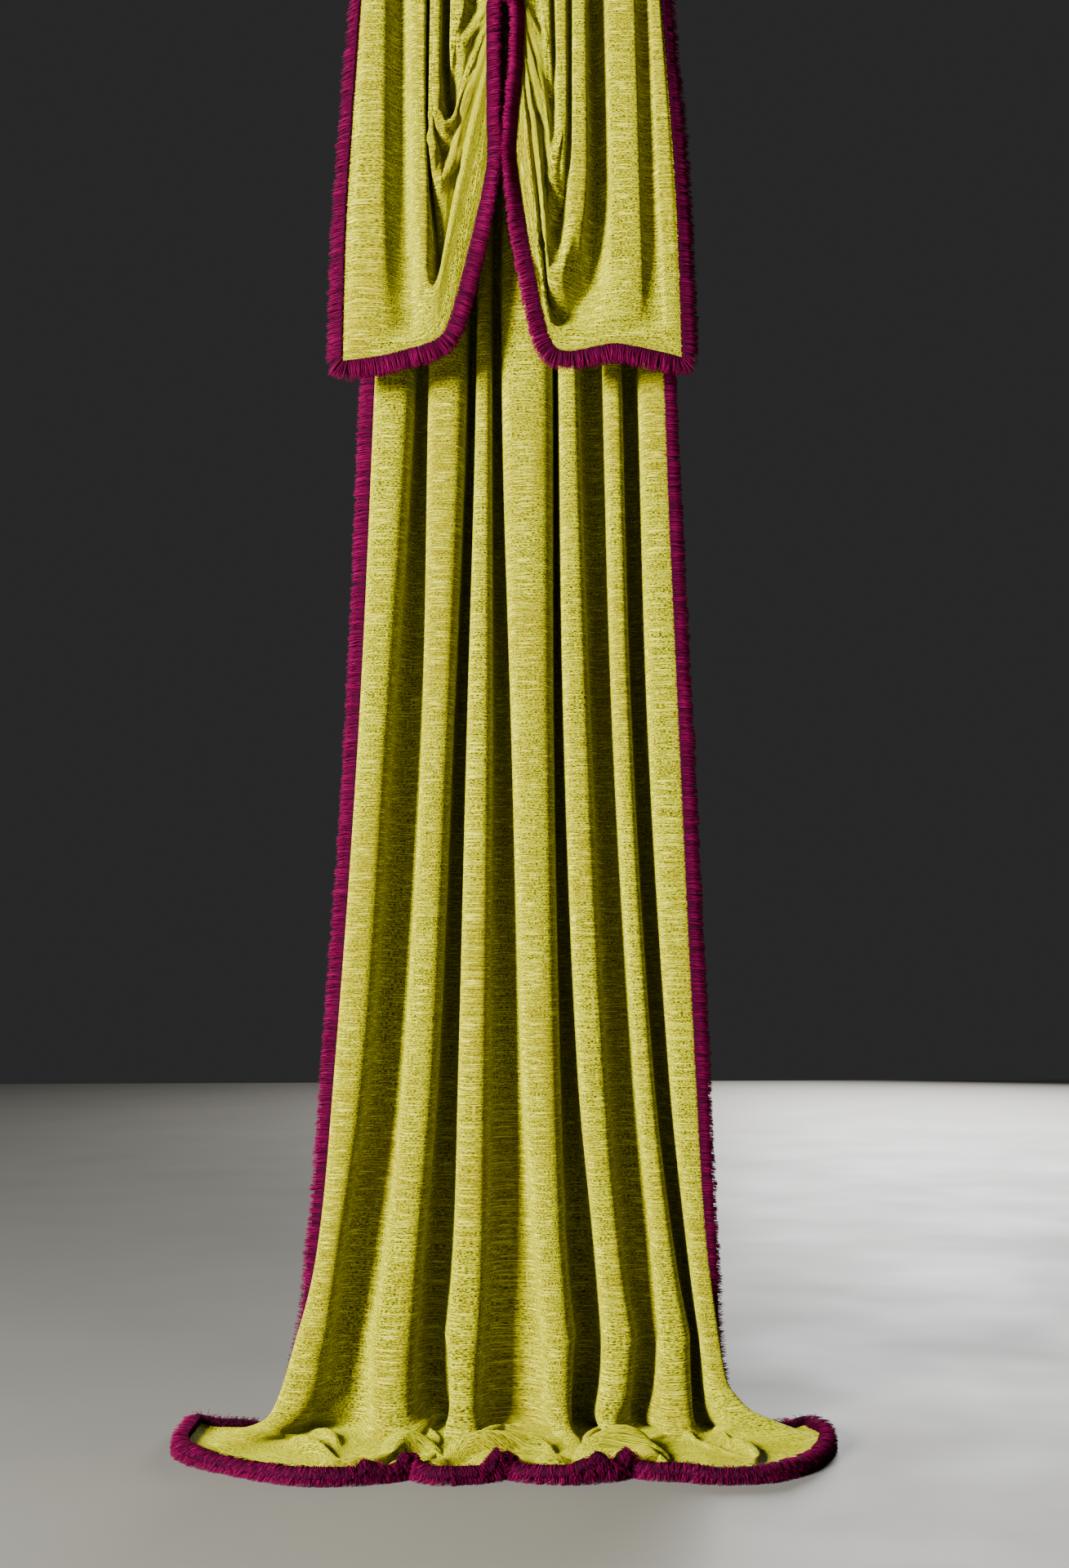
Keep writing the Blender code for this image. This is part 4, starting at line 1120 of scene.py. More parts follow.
@dataclass
class LongPanel:
    """The long curtain panel: seven uneven folds that spread on the floor.

    Args:
        crest_columns: columns of the grid over a crest.
        valley_columns: columns over a valley.
        edge_columns: columns over a side edge's turn.
        hung_rows: rows of the grid over the hanging part.
        pool_rows: rows over the part on the floor.
    """

    crest_columns: int = 18
    valley_columns: int = 13
    edge_columns: int = 4
    hung_rows: int = 145
    pool_rows: int = 76

    @staticmethod
    def columns_at(edge: tuple | np.ndarray, crest: tuple | np.ndarray, valley: tuple | np.ndarray
                   ) -> tuple[np.ndarray, np.ndarray, np.ndarray]:
        """Columns from the left edge to the right one.

        Args:
            edge: degrees of the columns over a side edge's turn.
            crest: degrees of those over a crest.
            valley: degrees of those over a valley.

        Returns:
            Strip, number of the fold and angle in radians of each column.
        """
        last = len(FOLDS) - 1
        found = [(Strip.LEFT_EDGE, 0, a) for a in edge]
        for i in range(len(FOLDS)):
            found += [(Strip.CREST, i, a) for a in crest]
            if i < last:
                found += [(Strip.VALLEY, i, a) for a in valley]
        found += [(Strip.RIGHT_EDGE, last, a) for a in edge[::-1]]
        kind, fold, angle = (np.array(values) for values in zip(*found))
        return kind, fold, np.radians(angle)

    def columns(self) -> tuple[np.ndarray, np.ndarray, np.ndarray]:
        """The grid's own columns: strip, number of the fold and angle of each."""
        edge = np.linspace(0, 90, self.edge_columns + 1)[:-1]
        crest = np.linspace(-90, 90, self.crest_columns + 1)
        valley = np.linspace(-90, 90, self.valley_columns + 1)[1:-1]
        return self.columns_at(edge, crest, valley)

    def along(self, kind: np.ndarray, fold: np.ndarray, angle: np.ndarray) -> np.ndarray:
        """Where each column stands.

        Args:
            kind: strip of each column.
            fold: number of its fold.
            angle: its angle in radians.

        Returns:
            0 at the left edge, 1 on the first crest, 2 in the valley beside it, and so on.
        """
        degrees = np.degrees(angle)
        return np.select(
            [kind == Strip.LEFT_EDGE, kind == Strip.CREST, kind == Strip.VALLEY],
            [degrees / EDGE_SPAN, 2 * fold + 1 + degrees / FOLD_SPAN,
             2 * fold + 2 + degrees / FOLD_SPAN],
            2 * len(FOLDS) - degrees / EDGE_SPAN)

    def section(self, columns: tuple, drops: np.ndarray, depth: np.ndarray) -> np.ndarray:
        """Sections of the panel.

        Args:
            columns: strip, number of the fold and angle of each column.
            drops: distances below the top edge.
            depth: depth of the folds at each.

        Returns:
            A row of places for each drop.
        """
        kind, fold, angle = columns
        left = np.stack([smooth_curve(FOLD_DROPS, f.left, drops) for f in FOLDS], axis=1)
        right = np.stack([smooth_curve(FOLD_DROPS, f.right, drops) for f in FOLDS], axis=1)
        left, right = left + CLOTH_THICKNESS, right - CLOTH_THICKNESS
        after = np.minimum(fold + 1, len(FOLDS) - 1)
        valley = kind == Strip.VALLEY
        start = np.where(valley, right[:, fold], left[:, fold])
        end = np.where(valley, left[:, after], right[:, fold])
        x = (start + end) / 2 + (end - start) / 2 * np.sin(angle)
        off = np.minimum(np.abs(np.sin(angle)), 1.0)
        fullness = np.where(valley, VALLEY_FULLNESS, CREST_FULLNESS)
        crown = np.where(valley, 0.0, CREST_CROWN)
        wave = (1 - crown) * np.sqrt(1 - off**fullness) + crown * (1 - off**2)
        turned = np.cos(angle)
        stands = np.array([f.stands for f in FOLDS])[fold]
        top = np.array([f.valley_top for f in FOLDS])[fold]
        foot = np.array([f.valley_foot for f in FOLDS])[fold]
        share = top + (foot - top) * (drops[:, None] / FOOT_DROP)
        middle = (PANEL_FRONT + depth / 2)[:, None]
        front = PANEL_FRONT - stands
        last = (fold == len(FOLDS) - 1) & (angle > 0)
        flank = np.where(last, PANEL_FRONT + depth[:, None] * RIGHT_EDGE_DEPTH, middle)
        crest_y = front + (flank - front) * (1 - wave)
        valley_y = middle + (share - 0.5) * depth[:, None] * wave
        set_back = np.where(kind == Strip.RIGHT_EDGE, RIGHT_EDGE_DEPTH, LEFT_EDGE_DEPTH)
        edge_y = PANEL_FRONT + depth[:, None] * set_back - EDGE_TURN * (1 - turned)
        left_x = smooth_curve(FOLD_DROPS, LEFT_EDGE, drops)[:, None] + EDGE_TURN * np.sin(angle)
        right_x = smooth_curve(FOLD_DROPS, RIGHT_EDGE, drops)[:, None] - EDGE_TURN * np.sin(angle)
        x = np.select([kind == Strip.LEFT_EDGE, kind == Strip.RIGHT_EDGE], [left_x, right_x], x)
        y = np.select([kind == Strip.CREST, valley], [crest_y, valley_y], edge_y)
        return np.stack([x, y, np.broadcast_to(-drops[:, None], x.shape)], axis=-1)

    def depths(self, drops: np.ndarray) -> np.ndarray:
        """Find how deep the folds have to be to take up the cut width.

        Args:
            drops: distances below the top edge.

        Returns:
            Depth of the folds at each.
        """
        coarse = self.columns_at(EDGE_ANGLES, CREST_ANGLES, VALLEY_ANGLES)
        shallow = np.full(len(drops), SHALLOWEST_FOLD)
        deep = np.full(len(drops), DEEPEST_FOLD)
        for _ in range(DEPTH_TRIALS):
            depth = (shallow + deep) / 2
            short = way_along(self.section(coarse, drops, depth))[:, -1] < FOLDED_WIDTH
            shallow = np.where(short, depth, shallow)
            deep = np.where(short, deep, depth)
        return depth

    def crest_share(self, kind: np.ndarray, angle: np.ndarray) -> np.ndarray:
        """How much of a fold's height each column has.

        Args:
            kind: strip of each column.
            angle: its angle in radians.

        Returns:
            From 1 on a crest to 0 in a valley.
        """
        wave = np.cos(angle) / 2
        return np.select([kind == Strip.CREST, kind == Strip.VALLEY], [0.5 + wave, 0.5 - wave],
                         EDGE_RIDGE * np.sin(angle))

    def hem(self, along: np.ndarray) -> np.ndarray:
        """Lay the hem on the floor, in scallops.

        Args:
            along: where each column stands.

        Returns:
            A place for each column.
        """
        places = [LEFT_CORNER]
        for fold in FOLDS:
            places.append(fold.hem)
            if fold.valley_hem:
                places.append(fold.valley_hem)
        places.append(RIGHT_CORNER)
        known = np.array([(x, y, FLOOR) for x, y in places])
        hem = smooth_curve(tuple(range(len(known))), known, along)
        for cusp in HEM_CUSPS:
            share = np.abs(along - cusp)
            near = share < 1.0
            bulge = np.where(along < cusp, known[cusp - 1, 1], known[cusp + 1, 1])
            round_way = np.sqrt(1 - (1 - np.minimum(share, 1.0)) ** 2)
            arched = known[cusp, 1] + (bulge - known[cusp, 1]) * round_way
            hem[near, 1] = arched[near]
        return hem

    def pool(self, columns: tuple) -> np.ndarray:
        """Lay the part of the panel that lies on the floor, before it settles.

        Args:
            columns: strip, number of the fold and angle of each column.

        Returns:
            Rows of places from the folds' feet to the hem.
        """
        kind, fold, angle = columns
        along = self.along(kind, fold, angle)
        drops = np.array([*LOW_DROPS, FOOT_DROP])
        last_rows = self.section(columns, drops, self.depths(drops))
        foot, hem = last_rows[2], self.hem(along)
        crests = tuple(2 * i + 1 for i in range(len(FOLDS)))
        ridge = smooth_curve(crests, [f.ridge for f in FOLDS], np.clip(along, 1, crests[-1]))
        stages = [last_rows[0], last_rows[1]]
        near = np.clip(1 - np.abs(along - LAST_VALLEY) / LAST_VALLEY_REACH, 0.0, 1.0)
        for step in POOL_STEPS:
            place = foot + (hem - foot) * step.reach
            turned = step.reach ** (1 + LAST_VALLEY_LAG * near)
            place[:, 0] = foot[:, 0] + (hem[:, 0] - foot[:, 0]) * turned
            place[:, 2] = FLOOR + step.lift + step.ridge * ridge * self.crest_share(kind, angle)
            stages.append(place)
        stages = np.stack(stages)
        steps = np.linspace(1, len(stages) - 1, self.pool_rows + 1)[1:]
        rows = smooth_curve(tuple(range(len(stages))), stages, steps)
        reaches = [0.0] + [s.reach for s in POOL_STEPS]
        reach = np.interp(steps - 1, range(len(reaches)), reaches)[:, None]
        humps = self.crumple_height(rows[..., 0], rows[..., 1])
        humps = humps * np.minimum(1.0, reach / CRUMPLE_START) * (1 - reach**CRUMPLE_FADE)
        rows[..., 2] = np.maximum(FLOOR, rows[..., 2]) + humps * CRUMPLE_SEED
        return rows

    def settled(self, hung: np.ndarray, pool: np.ndarray) -> np.ndarray:
        """Let the part on the floor settle under the lowest rows of the hanging part.

        Args:
            hung: rows of the hanging part.
            pool: rows of the part on the floor.

        Returns:
            The rows on the floor afterwards.
        """
        places = np.concatenate([hung[-HELD_ROWS:], pool])
        across = np.linalg.norm(np.diff(places, axis=1), axis=-1)
        cut = across[HELD_ROWS - 1]
        across[HELD_ROWS:] = np.maximum(
            across[HELD_ROWS:], across[HELD_ROWS:] * (1 - CUT_SHARE) + cut * CUT_SHARE)
        down = np.linalg.norm(np.diff(places, axis=0), axis=-1)
        loose = down[HELD_ROWS - 1:]
        loose[:] = loose.sum(axis=0) * POOL_SLACK / len(loose)
        return Settling().settle(places, HELD_ROWS, across, down)[HELD_ROWS:]

    def crumple_height(self, x: np.ndarray, y: np.ndarray) -> np.ndarray:
        """Height of the crumples.

        Args:
            x: places on the floor, across.
            y: the same places, from front to back.

        Returns:
            Height over each.
        """
        total = np.zeros_like(x)
        for hump in CRUMPLES:
            turn = math.radians(hump.turn)
            dx, dy = x - hump.x, y - hump.y
            along = (dx * math.cos(turn) + dy * math.sin(turn)) / hump.length
            across = (dy * math.cos(turn) - dx * math.sin(turn)) / hump.width
            total += hump.height * np.exp(-along * along - across * across)
        return total

    def sheet(self) -> ClothSheet:
        """Lay the panel as a sheet."""
        columns = self.columns()
        drops = np.linspace(0, LOW_DROPS[-1], self.hung_rows + 1)
        hung = self.section(columns, drops, self.depths(drops))
        laid = creased(np.concatenate([hung, self.pool(columns)]), PANEL_CREASES)
        hung, pool = laid[:len(hung)], laid[len(hung):]
        grid = np.concatenate([hung, self.settled(hung, pool)])
        across = way_along(hung).mean(axis=0)
        down = way_along(grid.transpose(1, 0, 2)).T
        flat = np.stack([np.broadcast_to(across, down.shape), down], axis=-1)
        return ClothSheet("velvet_long_panel", "main_panel", grid, flat,
                          (PANEL_WIDTH, PANEL_LENGTH), "hung")


@dataclass
class ShortPanel:
    """The short front panel, whose hem is drawn up into a slit.

    Args:
        between: columns of the grid from one fold line to the next.
        station_rows: rows from each station of a fold line to the next.
    """

    between: int = 8
    station_rows: tuple = (44, 40, 20, 18, 40, 34)

    def line_end(self, share: float, side: int) -> tuple[float, float]:
        """Find where a fold line ends at the slit.

        Args:
            share: the guide's gather.
            side: -1 for the left edge of the slit, and 1 for the right one.

        Returns:
            The place, as x and z.
        """
        straight = APEX_SHOULDER - APEX_LOW
        bend = math.pi / 4 * (APEX_HALF_WIDTH + APEX_TOP - APEX_SHOULDER)
        way = share * (straight + bend)
        if way < straight:
            lean = SLIT_LEANS[side] * (1 - way / straight) ** 2
            return APEX_X + side * (APEX_HALF_WIDTH - lean), APEX_LOW + way
        turn = (way - straight) / bend * math.pi / 2
        x = APEX_X + side * APEX_HALF_WIDTH * math.cos(turn)
        return x, APEX_SHOULDER + (APEX_TOP - APEX_SHOULDER) * math.sin(turn)

    def fold_line(self, guide: Guide, side: int, t: np.ndarray) -> np.ndarray:
        """Lay a fold line through its stations.

        Args:
            guide: the fold line.
            side: -1 left of the slit, and 1 right of it.
            t: where its places are wanted, counted in stations.

        Returns:
            The places.
        """
        hang, fall, base, turn, rise = guide.depths
        x, z = self.line_end(guide.gather, side)
        places = np.array([
            (guide.top_x, hang, 0.0),
            (guide.hang[0], hang, guide.hang[1]),
            (guide.fall[0], fall, guide.fall[1]),
            (guide.base[0], base, guide.base[1]),
            (guide.turn[0], turn, guide.turn[1]),
            (guide.rise[0], rise, guide.rise[1]),
            (x, APEX_Y, z),
        ])
        chords = np.linalg.norm(np.diff(places, axis=0), axis=1, keepdims=True)
        inner = unit(places[2:] - places[:-2]) * np.minimum(chords[:-1], chords[1:])
        slopes = np.concatenate([places[1:2] - places[:1], inner, places[-1:] - places[-2:-1]])
        slopes[CORNER_STATION] *= guide.rounding
        i = np.minimum(t.astype(int), len(places) - 2)
        return curve_between(places[i], places[i + 1], slopes[i], slopes[i + 1], (t - i)[:, None])

    def steps(self) -> np.ndarray:
        """Steps along the fold lines at which the panel has a row."""
        steps = [np.zeros(1)]
        for station, count in enumerate(self.station_rows):
            steps.append(station + np.arange(1, count + 1) / count)
        return np.concatenate(steps)

    def grid(self) -> np.ndarray:
        """Back face of the panel, in rows from its top edge to the slit's top."""
        t = self.steps()
        lines = [self.fold_line(guide, -1, t) for guide in LEFT_GUIDES]
        lines.append(self.fold_line(CENTRE_GUIDE, 1, t))
        lines += [self.fold_line(guide, 1, t) for guide in reversed(RIGHT_GUIDES)]
        posts = np.stack(lines, axis=1)
        known = tuple(range(posts.shape[1]))
        across = np.linspace(0, known[-1], known[-1] * self.between + 1)
        i = np.minimum(across.astype(int), known[-1] - 1)
        share = across - i
        facet = np.clip((t - FACET_START) / (FACET_END - FACET_START), 0.0, 1.0)[:, None]
        flanks = np.full(known[-1], FLANK_STEEPNESS)
        flanks[:len(LEFT_FLANKS)] = LEFT_FLANKS
        flanks[-1] = RIGHT_FLANK
        steep = flanks[i] * (1 - facet)
        placed = across + steep / math.tau * np.sin(math.tau * share)
        rows = np.stack([
            smooth_curve(known, row, where) for row, where in zip(posts, placed)])
        a, b = posts[:, i, 1], posts[:, i + 1, 1]
        from_crest = np.where(a < b, share, 1 - share)
        tube = (1 - np.cos(np.pi * from_crest**CREST_BIAS)) / 2
        sunk = tube + (from_crest**FACET_BIAS - tube) * facet
        rows[..., 1] = np.minimum(a, b) + np.abs(b - a) * sunk
        return rows

    def flat(self, grid: np.ndarray) -> np.ndarray:
        """Place on the cut cloth of each place of the grid.

        A fold line runs down the cut cloth as long as it falls, and then across it to the middle.

        Args:
            grid: places of the panel, in rows from the top.

        Returns:
            Metres across and down the cut cloth, for each.
        """
        middle = grid.shape[1] // 2
        across_top = way_along(grid[:1])[0]
        steps = np.diff(grid, axis=0)
        side = np.where(np.arange(grid.shape[1]) <= middle, 1.0, -1.0)
        heading = np.arctan2(-steps[..., 2], np.maximum(np.abs(steps[..., 0] * side), 1e-6))
        heading = np.clip(heading, 0.0, math.pi / 2)
        length = np.linalg.norm(steps, axis=-1)
        fallen = np.concatenate([np.zeros((1, grid.shape[1])),
                                 np.cumsum(length * np.sin(heading), axis=0)])
        crossed = np.concatenate([np.zeros((1, grid.shape[1])),
                                  np.cumsum(length * np.cos(heading), axis=0)])
        hung = np.broadcast_to(across_top, fallen.shape).copy()
        low = self.corner_row()
        across = way_along(grid)
        for held, outer in ((self.between * OUTER_FOLDS, slice(0, self.between * OUTER_FOLDS)),
                            (-1 - self.between * OUTER_FOLDS,
                             slice(-self.between * OUTER_FOLDS, None))):
            hung[:, outer] = across_top[held] + (across[:, outer] - across[:, held, None])
        hung[low:] = hung[low]
        u = hung + (hung[:, middle, None] - hung) * crossed / np.maximum(crossed[-1], 1e-6)
        return np.stack([u, fallen], axis=-1)

    def sheet(self) -> ClothSheet:
        """Lay the panel as a sheet."""
        grid = self.grid()
        flat = self.flat(grid)
        grid = creased(grid, OVERLAY_CREASES)
        return ClothSheet("velvet_short_panel", "overlay_panel", grid, flat,
                          (OVERLAY_WIDTH, OVERLAY_LENGTH), "gathered")

    def corner_row(self) -> int:
        """Row of the grid at the lower corners."""
        return sum(self.station_rows[:CORNER_STATION])


class Lie(Enum):
    """How a fringe's strands lie."""

    HANGING = "hanging"
    SLIT = "slit"


@dataclass(frozen=True)
class Unevenness:
    """How unlike each other the strands of a fringe are. Angles are in radians, the rest are shares.

    Args:
        lock_lean: spread of the way that a lock leans along the edge.
        lean: spread of the same for a strand of the lock.
        fan: angle between the lowest strands and the highest.
        lying_fan: how much more that is on the floor.
        lock_turn: spread of a lock's turn to the front.
        turn: spread of the same for a strand.
        lock_length: spread of a lock's length.
        length: spread of the same for a strand.
        core: spread of the core's reach.
        gather: how far at most a strand's end is drawn to the middle of its lock.
        fall: least and greatest droop, by the usual one.
        shade: middle and spread of the strands' shades.
    """

    lock_lean: float = 0.035
    lean: float = 0.05
    fan: float = 0.35
    lying_fan: float = 0.75
    lock_turn: float = 0.04
    turn: float = 0.05
    lock_length: float = 0.035
    length: float = 0.03
    core: float = 0.04
    gather: float = 0.2
    fall: tuple = (0.6, 1.4)
    shade: tuple = (0.55, 0.22)


# Section of a fringe's core, as shares of its strands' length and of its thickness.
CORE_PROFILE = (
    (0.0, 0.0), (0.10, -0.10), (0.55, -0.02), (0.74, 0.18),
    (0.70, 0.60), (0.45, 0.88), (0.10, 0.95), (0.0, 0.8),
)
CORE_CAPS = ((0, 1, 2, 3), (0, 3, 4, 7), (4, 5, 6, 7))  # faces that close its ends
CORE_DROOP = 0.8  # share of the strands' droop that it has
# painted shade: the core's tone, near the yarn's deepest
CORE_PAINTED_SHADE = 0.1
LIES_BELOW = 0.05  # a fringe whose edge is lower than this over the floor begins to lie on it
LIES_FADE = 0.03
THICKENING = 0.08  # distance over which a fringe comes to its full thickness on the floor
ROOT_INSIDE = 0.003  # how far inside its edge a strand starts
ROOT_LOWEST = 0.05  # where in the fringe's thickness the lowest strand starts
ROOT_RANGE = 0.9  # how much higher the highest does
HALFWAY = (0.5, 0.4, 0.25)  # shares of a strand's length, gather and fall at its middle place
STRAND_TAPER = (0.9, 1.0, 0.6)  # radius at a strand's three places, by its own
# these ways set the painted shade, darkest at a strand's root and gone at its tip
STRAND_SHADES = (0.1, 0.6, 1.0)  # way along a strand that the yarn's finish reads there
NO_STRAND_WAY = (0.31, 0.17, 0.93)  # a way that no strand takes
STRAND_FLOOR = FLOOR + 0.0002


@dataclass
class BrushFringe:
    """A cut brush fringe along an edge, strand by strand over a soft core.

    Args:
        name: the piece's name.
        node: the CAD node that it stands for.
        run: the edge that it is sewn to.
        seed: start of its random draws.
        lie: how its strands lie.
        per_metre: strands in a metre of edge.
        length: length of a strand.
        thickness: thickness of the fringe at its root.
        radius: radius of a strand at its root.
        clump: length of edge that a lock of strands takes.
        lying_thickness: thickness where it lies on the floor.
        thick_beyond: distance from the middle beyond which it lies as thick as that.
        droop: how far a strand's end falls, as a share of its length.
        lying_droop: the same where it lies on the floor.
        core_step: length of edge from one section of the core to the next.
        uneven: how unlike each other its strands are.
    """

    name: str
    node: str
    run: EdgeRun
    seed: int
    lie: Lie = Lie.HANGING
    per_metre: int = 3900
    length: float = 0.033
    thickness: float = 0.008
    radius: float = 0.0006
    clump: float = 0.0065
    lying_thickness: float = 0.018
    thick_beyond: float = -1.0
    droop: float = 0.12
    lying_droop: float = 0.5
    core_step: float = 0.005
    uneven: Unevenness = Unevenness()

    def build(self, material: bpy.types.Material) -> bpy.types.Object:
        """Build the fringe.

        Args:
            material: its finish.

        Returns:
            The object.
        """
        chance = np.random.default_rng(self.seed)
        core_points, core_faces, core_painted_shade = self.core(chance)
        points, quads, ends, shades = self.strands(chance)
        offset = len(core_points)
        fringe = add_mesh(self.name, np.concatenate([core_points, points]),
                          [core_faces, quads + offset, ends + offset], material)
        layer = fringe.data.color_attributes.new("strand", "FLOAT_COLOR", "POINT")
        layer.data.foreach_set(
            "color", np.concatenate([core_painted_shade, shades]).astype(np.float32).ravel())
        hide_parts(self.node)
        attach(fringe, "root")
        return fringe

    def tilt(self, place: np.ndarray) -> np.ndarray:
        """Find how far the strands turn to the front.

        Args:
            place: their places on the edge.

        Returns:
            The angle at each.
        """
        if self.lie is Lie.SLIT:
            share = np.clip((place[:, 2] - SLIT_MOUTH) / SLIT_MOUTH_FADE, 0.0, 1.0)
            return SLIT_TILT * share
        return np.zeros(len(place))

    def lying(self, place: np.ndarray) -> np.ndarray:
        """How much the fringe at places lies on the floor, from 0 to 1."""
        return np.clip((FLOOR + LIES_BELOW - place[:, 2]) / LIES_FADE, 0.0, 1.0)

    def thickness_at(self, place: np.ndarray) -> np.ndarray:
        """Thickness of the fringe at places."""
        out = np.clip((np.abs(place[:, 0]) - self.thick_beyond) / THICKENING, 0.0, 1.0)
        return self.thickness + (self.lying_thickness - self.thickness) * self.lying(place) * out

    def ways(self, place: np.ndarray, outward: np.ndarray, front: np.ndarray,
             turn: np.ndarray) -> np.ndarray:
        """Ways that strands take from their roots.

        Args:
            place: their places on the edge.
            outward: the way out of the cloth at each.
            front: the way that the fringe faces there.
            turn: angle by which each turns to the front besides the fringe's own.

        Returns:
            A way for each strand.
        """
        angle = (self.tilt(place) + turn)[:, None]
        return outward * np.cos(angle) + front * np.sin(angle)

    def core(self, chance: np.random.Generator) -> tuple[np.ndarray, np.ndarray, np.ndarray]:
        """Lay the soft core under the strands, which keeps the light from shining through.
        Its dark colour is painted shade, like that at the roots.

        Args:
            chance: the source of its random draws.

        Returns:
            Places, faces and shades.
        """
        total = self.run.length()
        count = max(4, int(total / self.core_step))
        place, outward, front = self.run.at(np.linspace(0, total, count))
        way = self.ways(place, outward, front, np.zeros(count))
        rise = unit(front - way * np.sum(front * way, axis=1, keepdims=True))
        reach = self.length * (1 + chance.normal(0, self.uneven.core, (count, 1)))
        thickness = self.thickness_at(place)[:, None]
        rings = []
        for out, up in CORE_PROFILE:
            point = place + way * reach * out + rise * thickness * up
            rings.append(point + DOWN * self.droop * self.length * out * out * CORE_DROOP)
        points = np.stack(rings, axis=1)
        points[..., 2] = np.maximum(points[..., 2], FLOOR)
        sides = len(CORE_PROFILE)
        number = np.arange(count * sides).reshape(count, sides)
        following = np.roll(number, -1, axis=1)
        faces = np.stack([number[:-1], number[1:], following[1:], following[:-1]], axis=-1)
        ends = np.concatenate([number[0, ::-1].reshape(1, -1), number[-1].reshape(1, -1)])
        caps = np.concatenate([ends[:, list(cap)] for cap in CORE_CAPS])
        # painted shade: the core takes a dark tone and reads as all root, so the finish darkens it
        # fully
        shades = np.zeros((count * sides, 4))
        shades[:, 0] = CORE_PAINTED_SHADE
        shades[:, 3] = 1.0
        return points.reshape(-1, 3), np.concatenate([faces.reshape(-1, 4), caps]), shades

    def strands(self, chance: np.random.Generator
                ) -> tuple[np.ndarray, np.ndarray, np.ndarray, np.ndarray]:
        """Lay the strands as tapered three-sided rods of two segments.

        Args:
            chance: the source of their random draws.

        Returns:
            Places, four-cornered faces, three-cornered faces and shades.
        """
        uneven = self.uneven
        total = self.run.length()
        count = int(total * self.per_metre)
        along = chance.uniform(0, total, count)
        place, outward, front = self.run.at(along)
        lock = np.floor(along / self.clump).astype(int)
        locks = lock.max() + 1
        layer = chance.uniform(0, 1, count)
        lying = self.lying(place)
        lean = chance.normal(0, uneven.lock_lean, locks)[lock] + chance.normal(0, uneven.lean, count)
        turn = (layer - 0.5) * (uneven.fan + uneven.lying_fan * lying)
        turn = turn + chance.normal(0, uneven.lock_turn, locks)[lock]
        turn += chance.normal(0, uneven.turn, count)
        side = unit(np.cross(front, outward))
        way = self.ways(place, outward, front, turn)
        way = unit(way + side * np.tan(lean)[:, None])
        length = self.length * (1 + chance.normal(0, uneven.lock_length, locks)[lock]
                                + chance.normal(0, uneven.length, count))
        thickness = self.thickness_at(place)
        height = thickness * (ROOT_LOWEST + ROOT_RANGE * layer)
        root = place - outward * ROOT_INSIDE + front * height[:, None]
        centre = (lock + 0.5) * self.clump - along
        gather = side * (centre * chance.uniform(0.0, uneven.gather, count))[:, None]
        droop = self.droop + (self.lying_droop - self.droop) * lying
        fall = (droop * length * chance.uniform(*uneven.fall, count))[:, None]
        run, drawn, fallen = HALFWAY
        middle = root + way * (length * run)[:, None] + gather * drawn + DOWN * fall * fallen
        tip = root + way * length[:, None] + gather + DOWN * fall
        spines = np.stack([root, middle, tip], axis=1)
        return self.rods(chance, spines, self.radius * np.array(STRAND_TAPER))

    def rods(self, chance: np.random.Generator, spines: np.ndarray, radii: np.ndarray
             ) -> tuple[np.ndarray, np.ndarray, np.ndarray, np.ndarray]:
        """Rods along spines.

        Args:
            chance: the source of each strand's shade.
            spines: three places of each strand.
            radii: radius at each of them.

        Returns:
            Places, four-cornered faces, three-cornered faces and shades.
        """
        count = len(spines)
        run = unit(spines[:, 2] - spines[:, 0])
        across = unit(np.cross(run, np.array(NO_STRAND_WAY)))
        third = np.cross(run, across)
        angles = np.radians([90, 210, 330])
        ring = (across[:, None] * np.cos(angles)[None, :, None]
                + third[:, None] * np.sin(angles)[None, :, None])
        points = spines[:, :, None, :] + ring[:, None] * radii[None, :, None, None]
        points[..., 2] = np.maximum(points[..., 2], STRAND_FLOOR)
        number = np.arange(count * 9).reshape(count, 3, 3)
        following = np.roll(number, -1, axis=2)
        quads = np.stack([number[:, :-1], following[:, :-1], following[:, 1:], number[:, 1:]],
                         axis=-1).reshape(-1, 4)
        ends = number[:, 2].reshape(-1, 3)
        shades = np.zeros((count, 3, 3, 4))
        shades[..., 0] = chance.normal(*self.uneven.shade, count).clip(0, 1)[:, None, None]
        shades[..., 1] = np.array(STRAND_SHADES)[None, :, None]
        shades[..., 3] = 1.0
        return points.reshape(-1, 3), quads, ends, shades.reshape(-1, 4)


@dataclass(frozen=True)
class Lamp:
    """A soft rectangular light, which the camera itself doesn't see.

    Args:
        name: its name.
        place: where it stands.
        aim: where it points.
        size: its width and height.
        power: in watts.
    """

    name: str
    place: tuple
    aim: tuple
    size: tuple
    power: float

    def add(self) -> None:
        """Add the light to the scene."""
        data = bpy.data.lights.new(self.name, "AREA")
        data.shape = "RECTANGLE"
        data.size, data.size_y = self.size
        data.energy = self.power
        light = bpy.data.objects.new(self.name, data)
        light.location = self.place
        light.visible_camera = False
        way = np.array(self.aim, float) - np.array(self.place, float)
        yaw = math.atan2(-way[0], way[1])
        pitch = math.atan2(way[2], math.hypot(way[0], way[1]))
        light.rotation_euler = Euler((math.pi / 2 + pitch, 0.0, yaw), "XYZ")
        bpy.context.scene.collection.objects.link(light)


LAMPS = (
    Lamp("key", (-3.9, -4.4, -0.4), (0.0, -0.1, -1.45), (1.3, 1.8), 1330.0),
    Lamp("fill", (1.5, -6.0, -0.5), (0.0, 0.0, -1.6), (3.0, 3.0), 1.5),
    Lamp("back", (2.4, 8.2, -0.7), (0.0, 0.0, -1.5), (2.5, 2.5), 560.0),
)


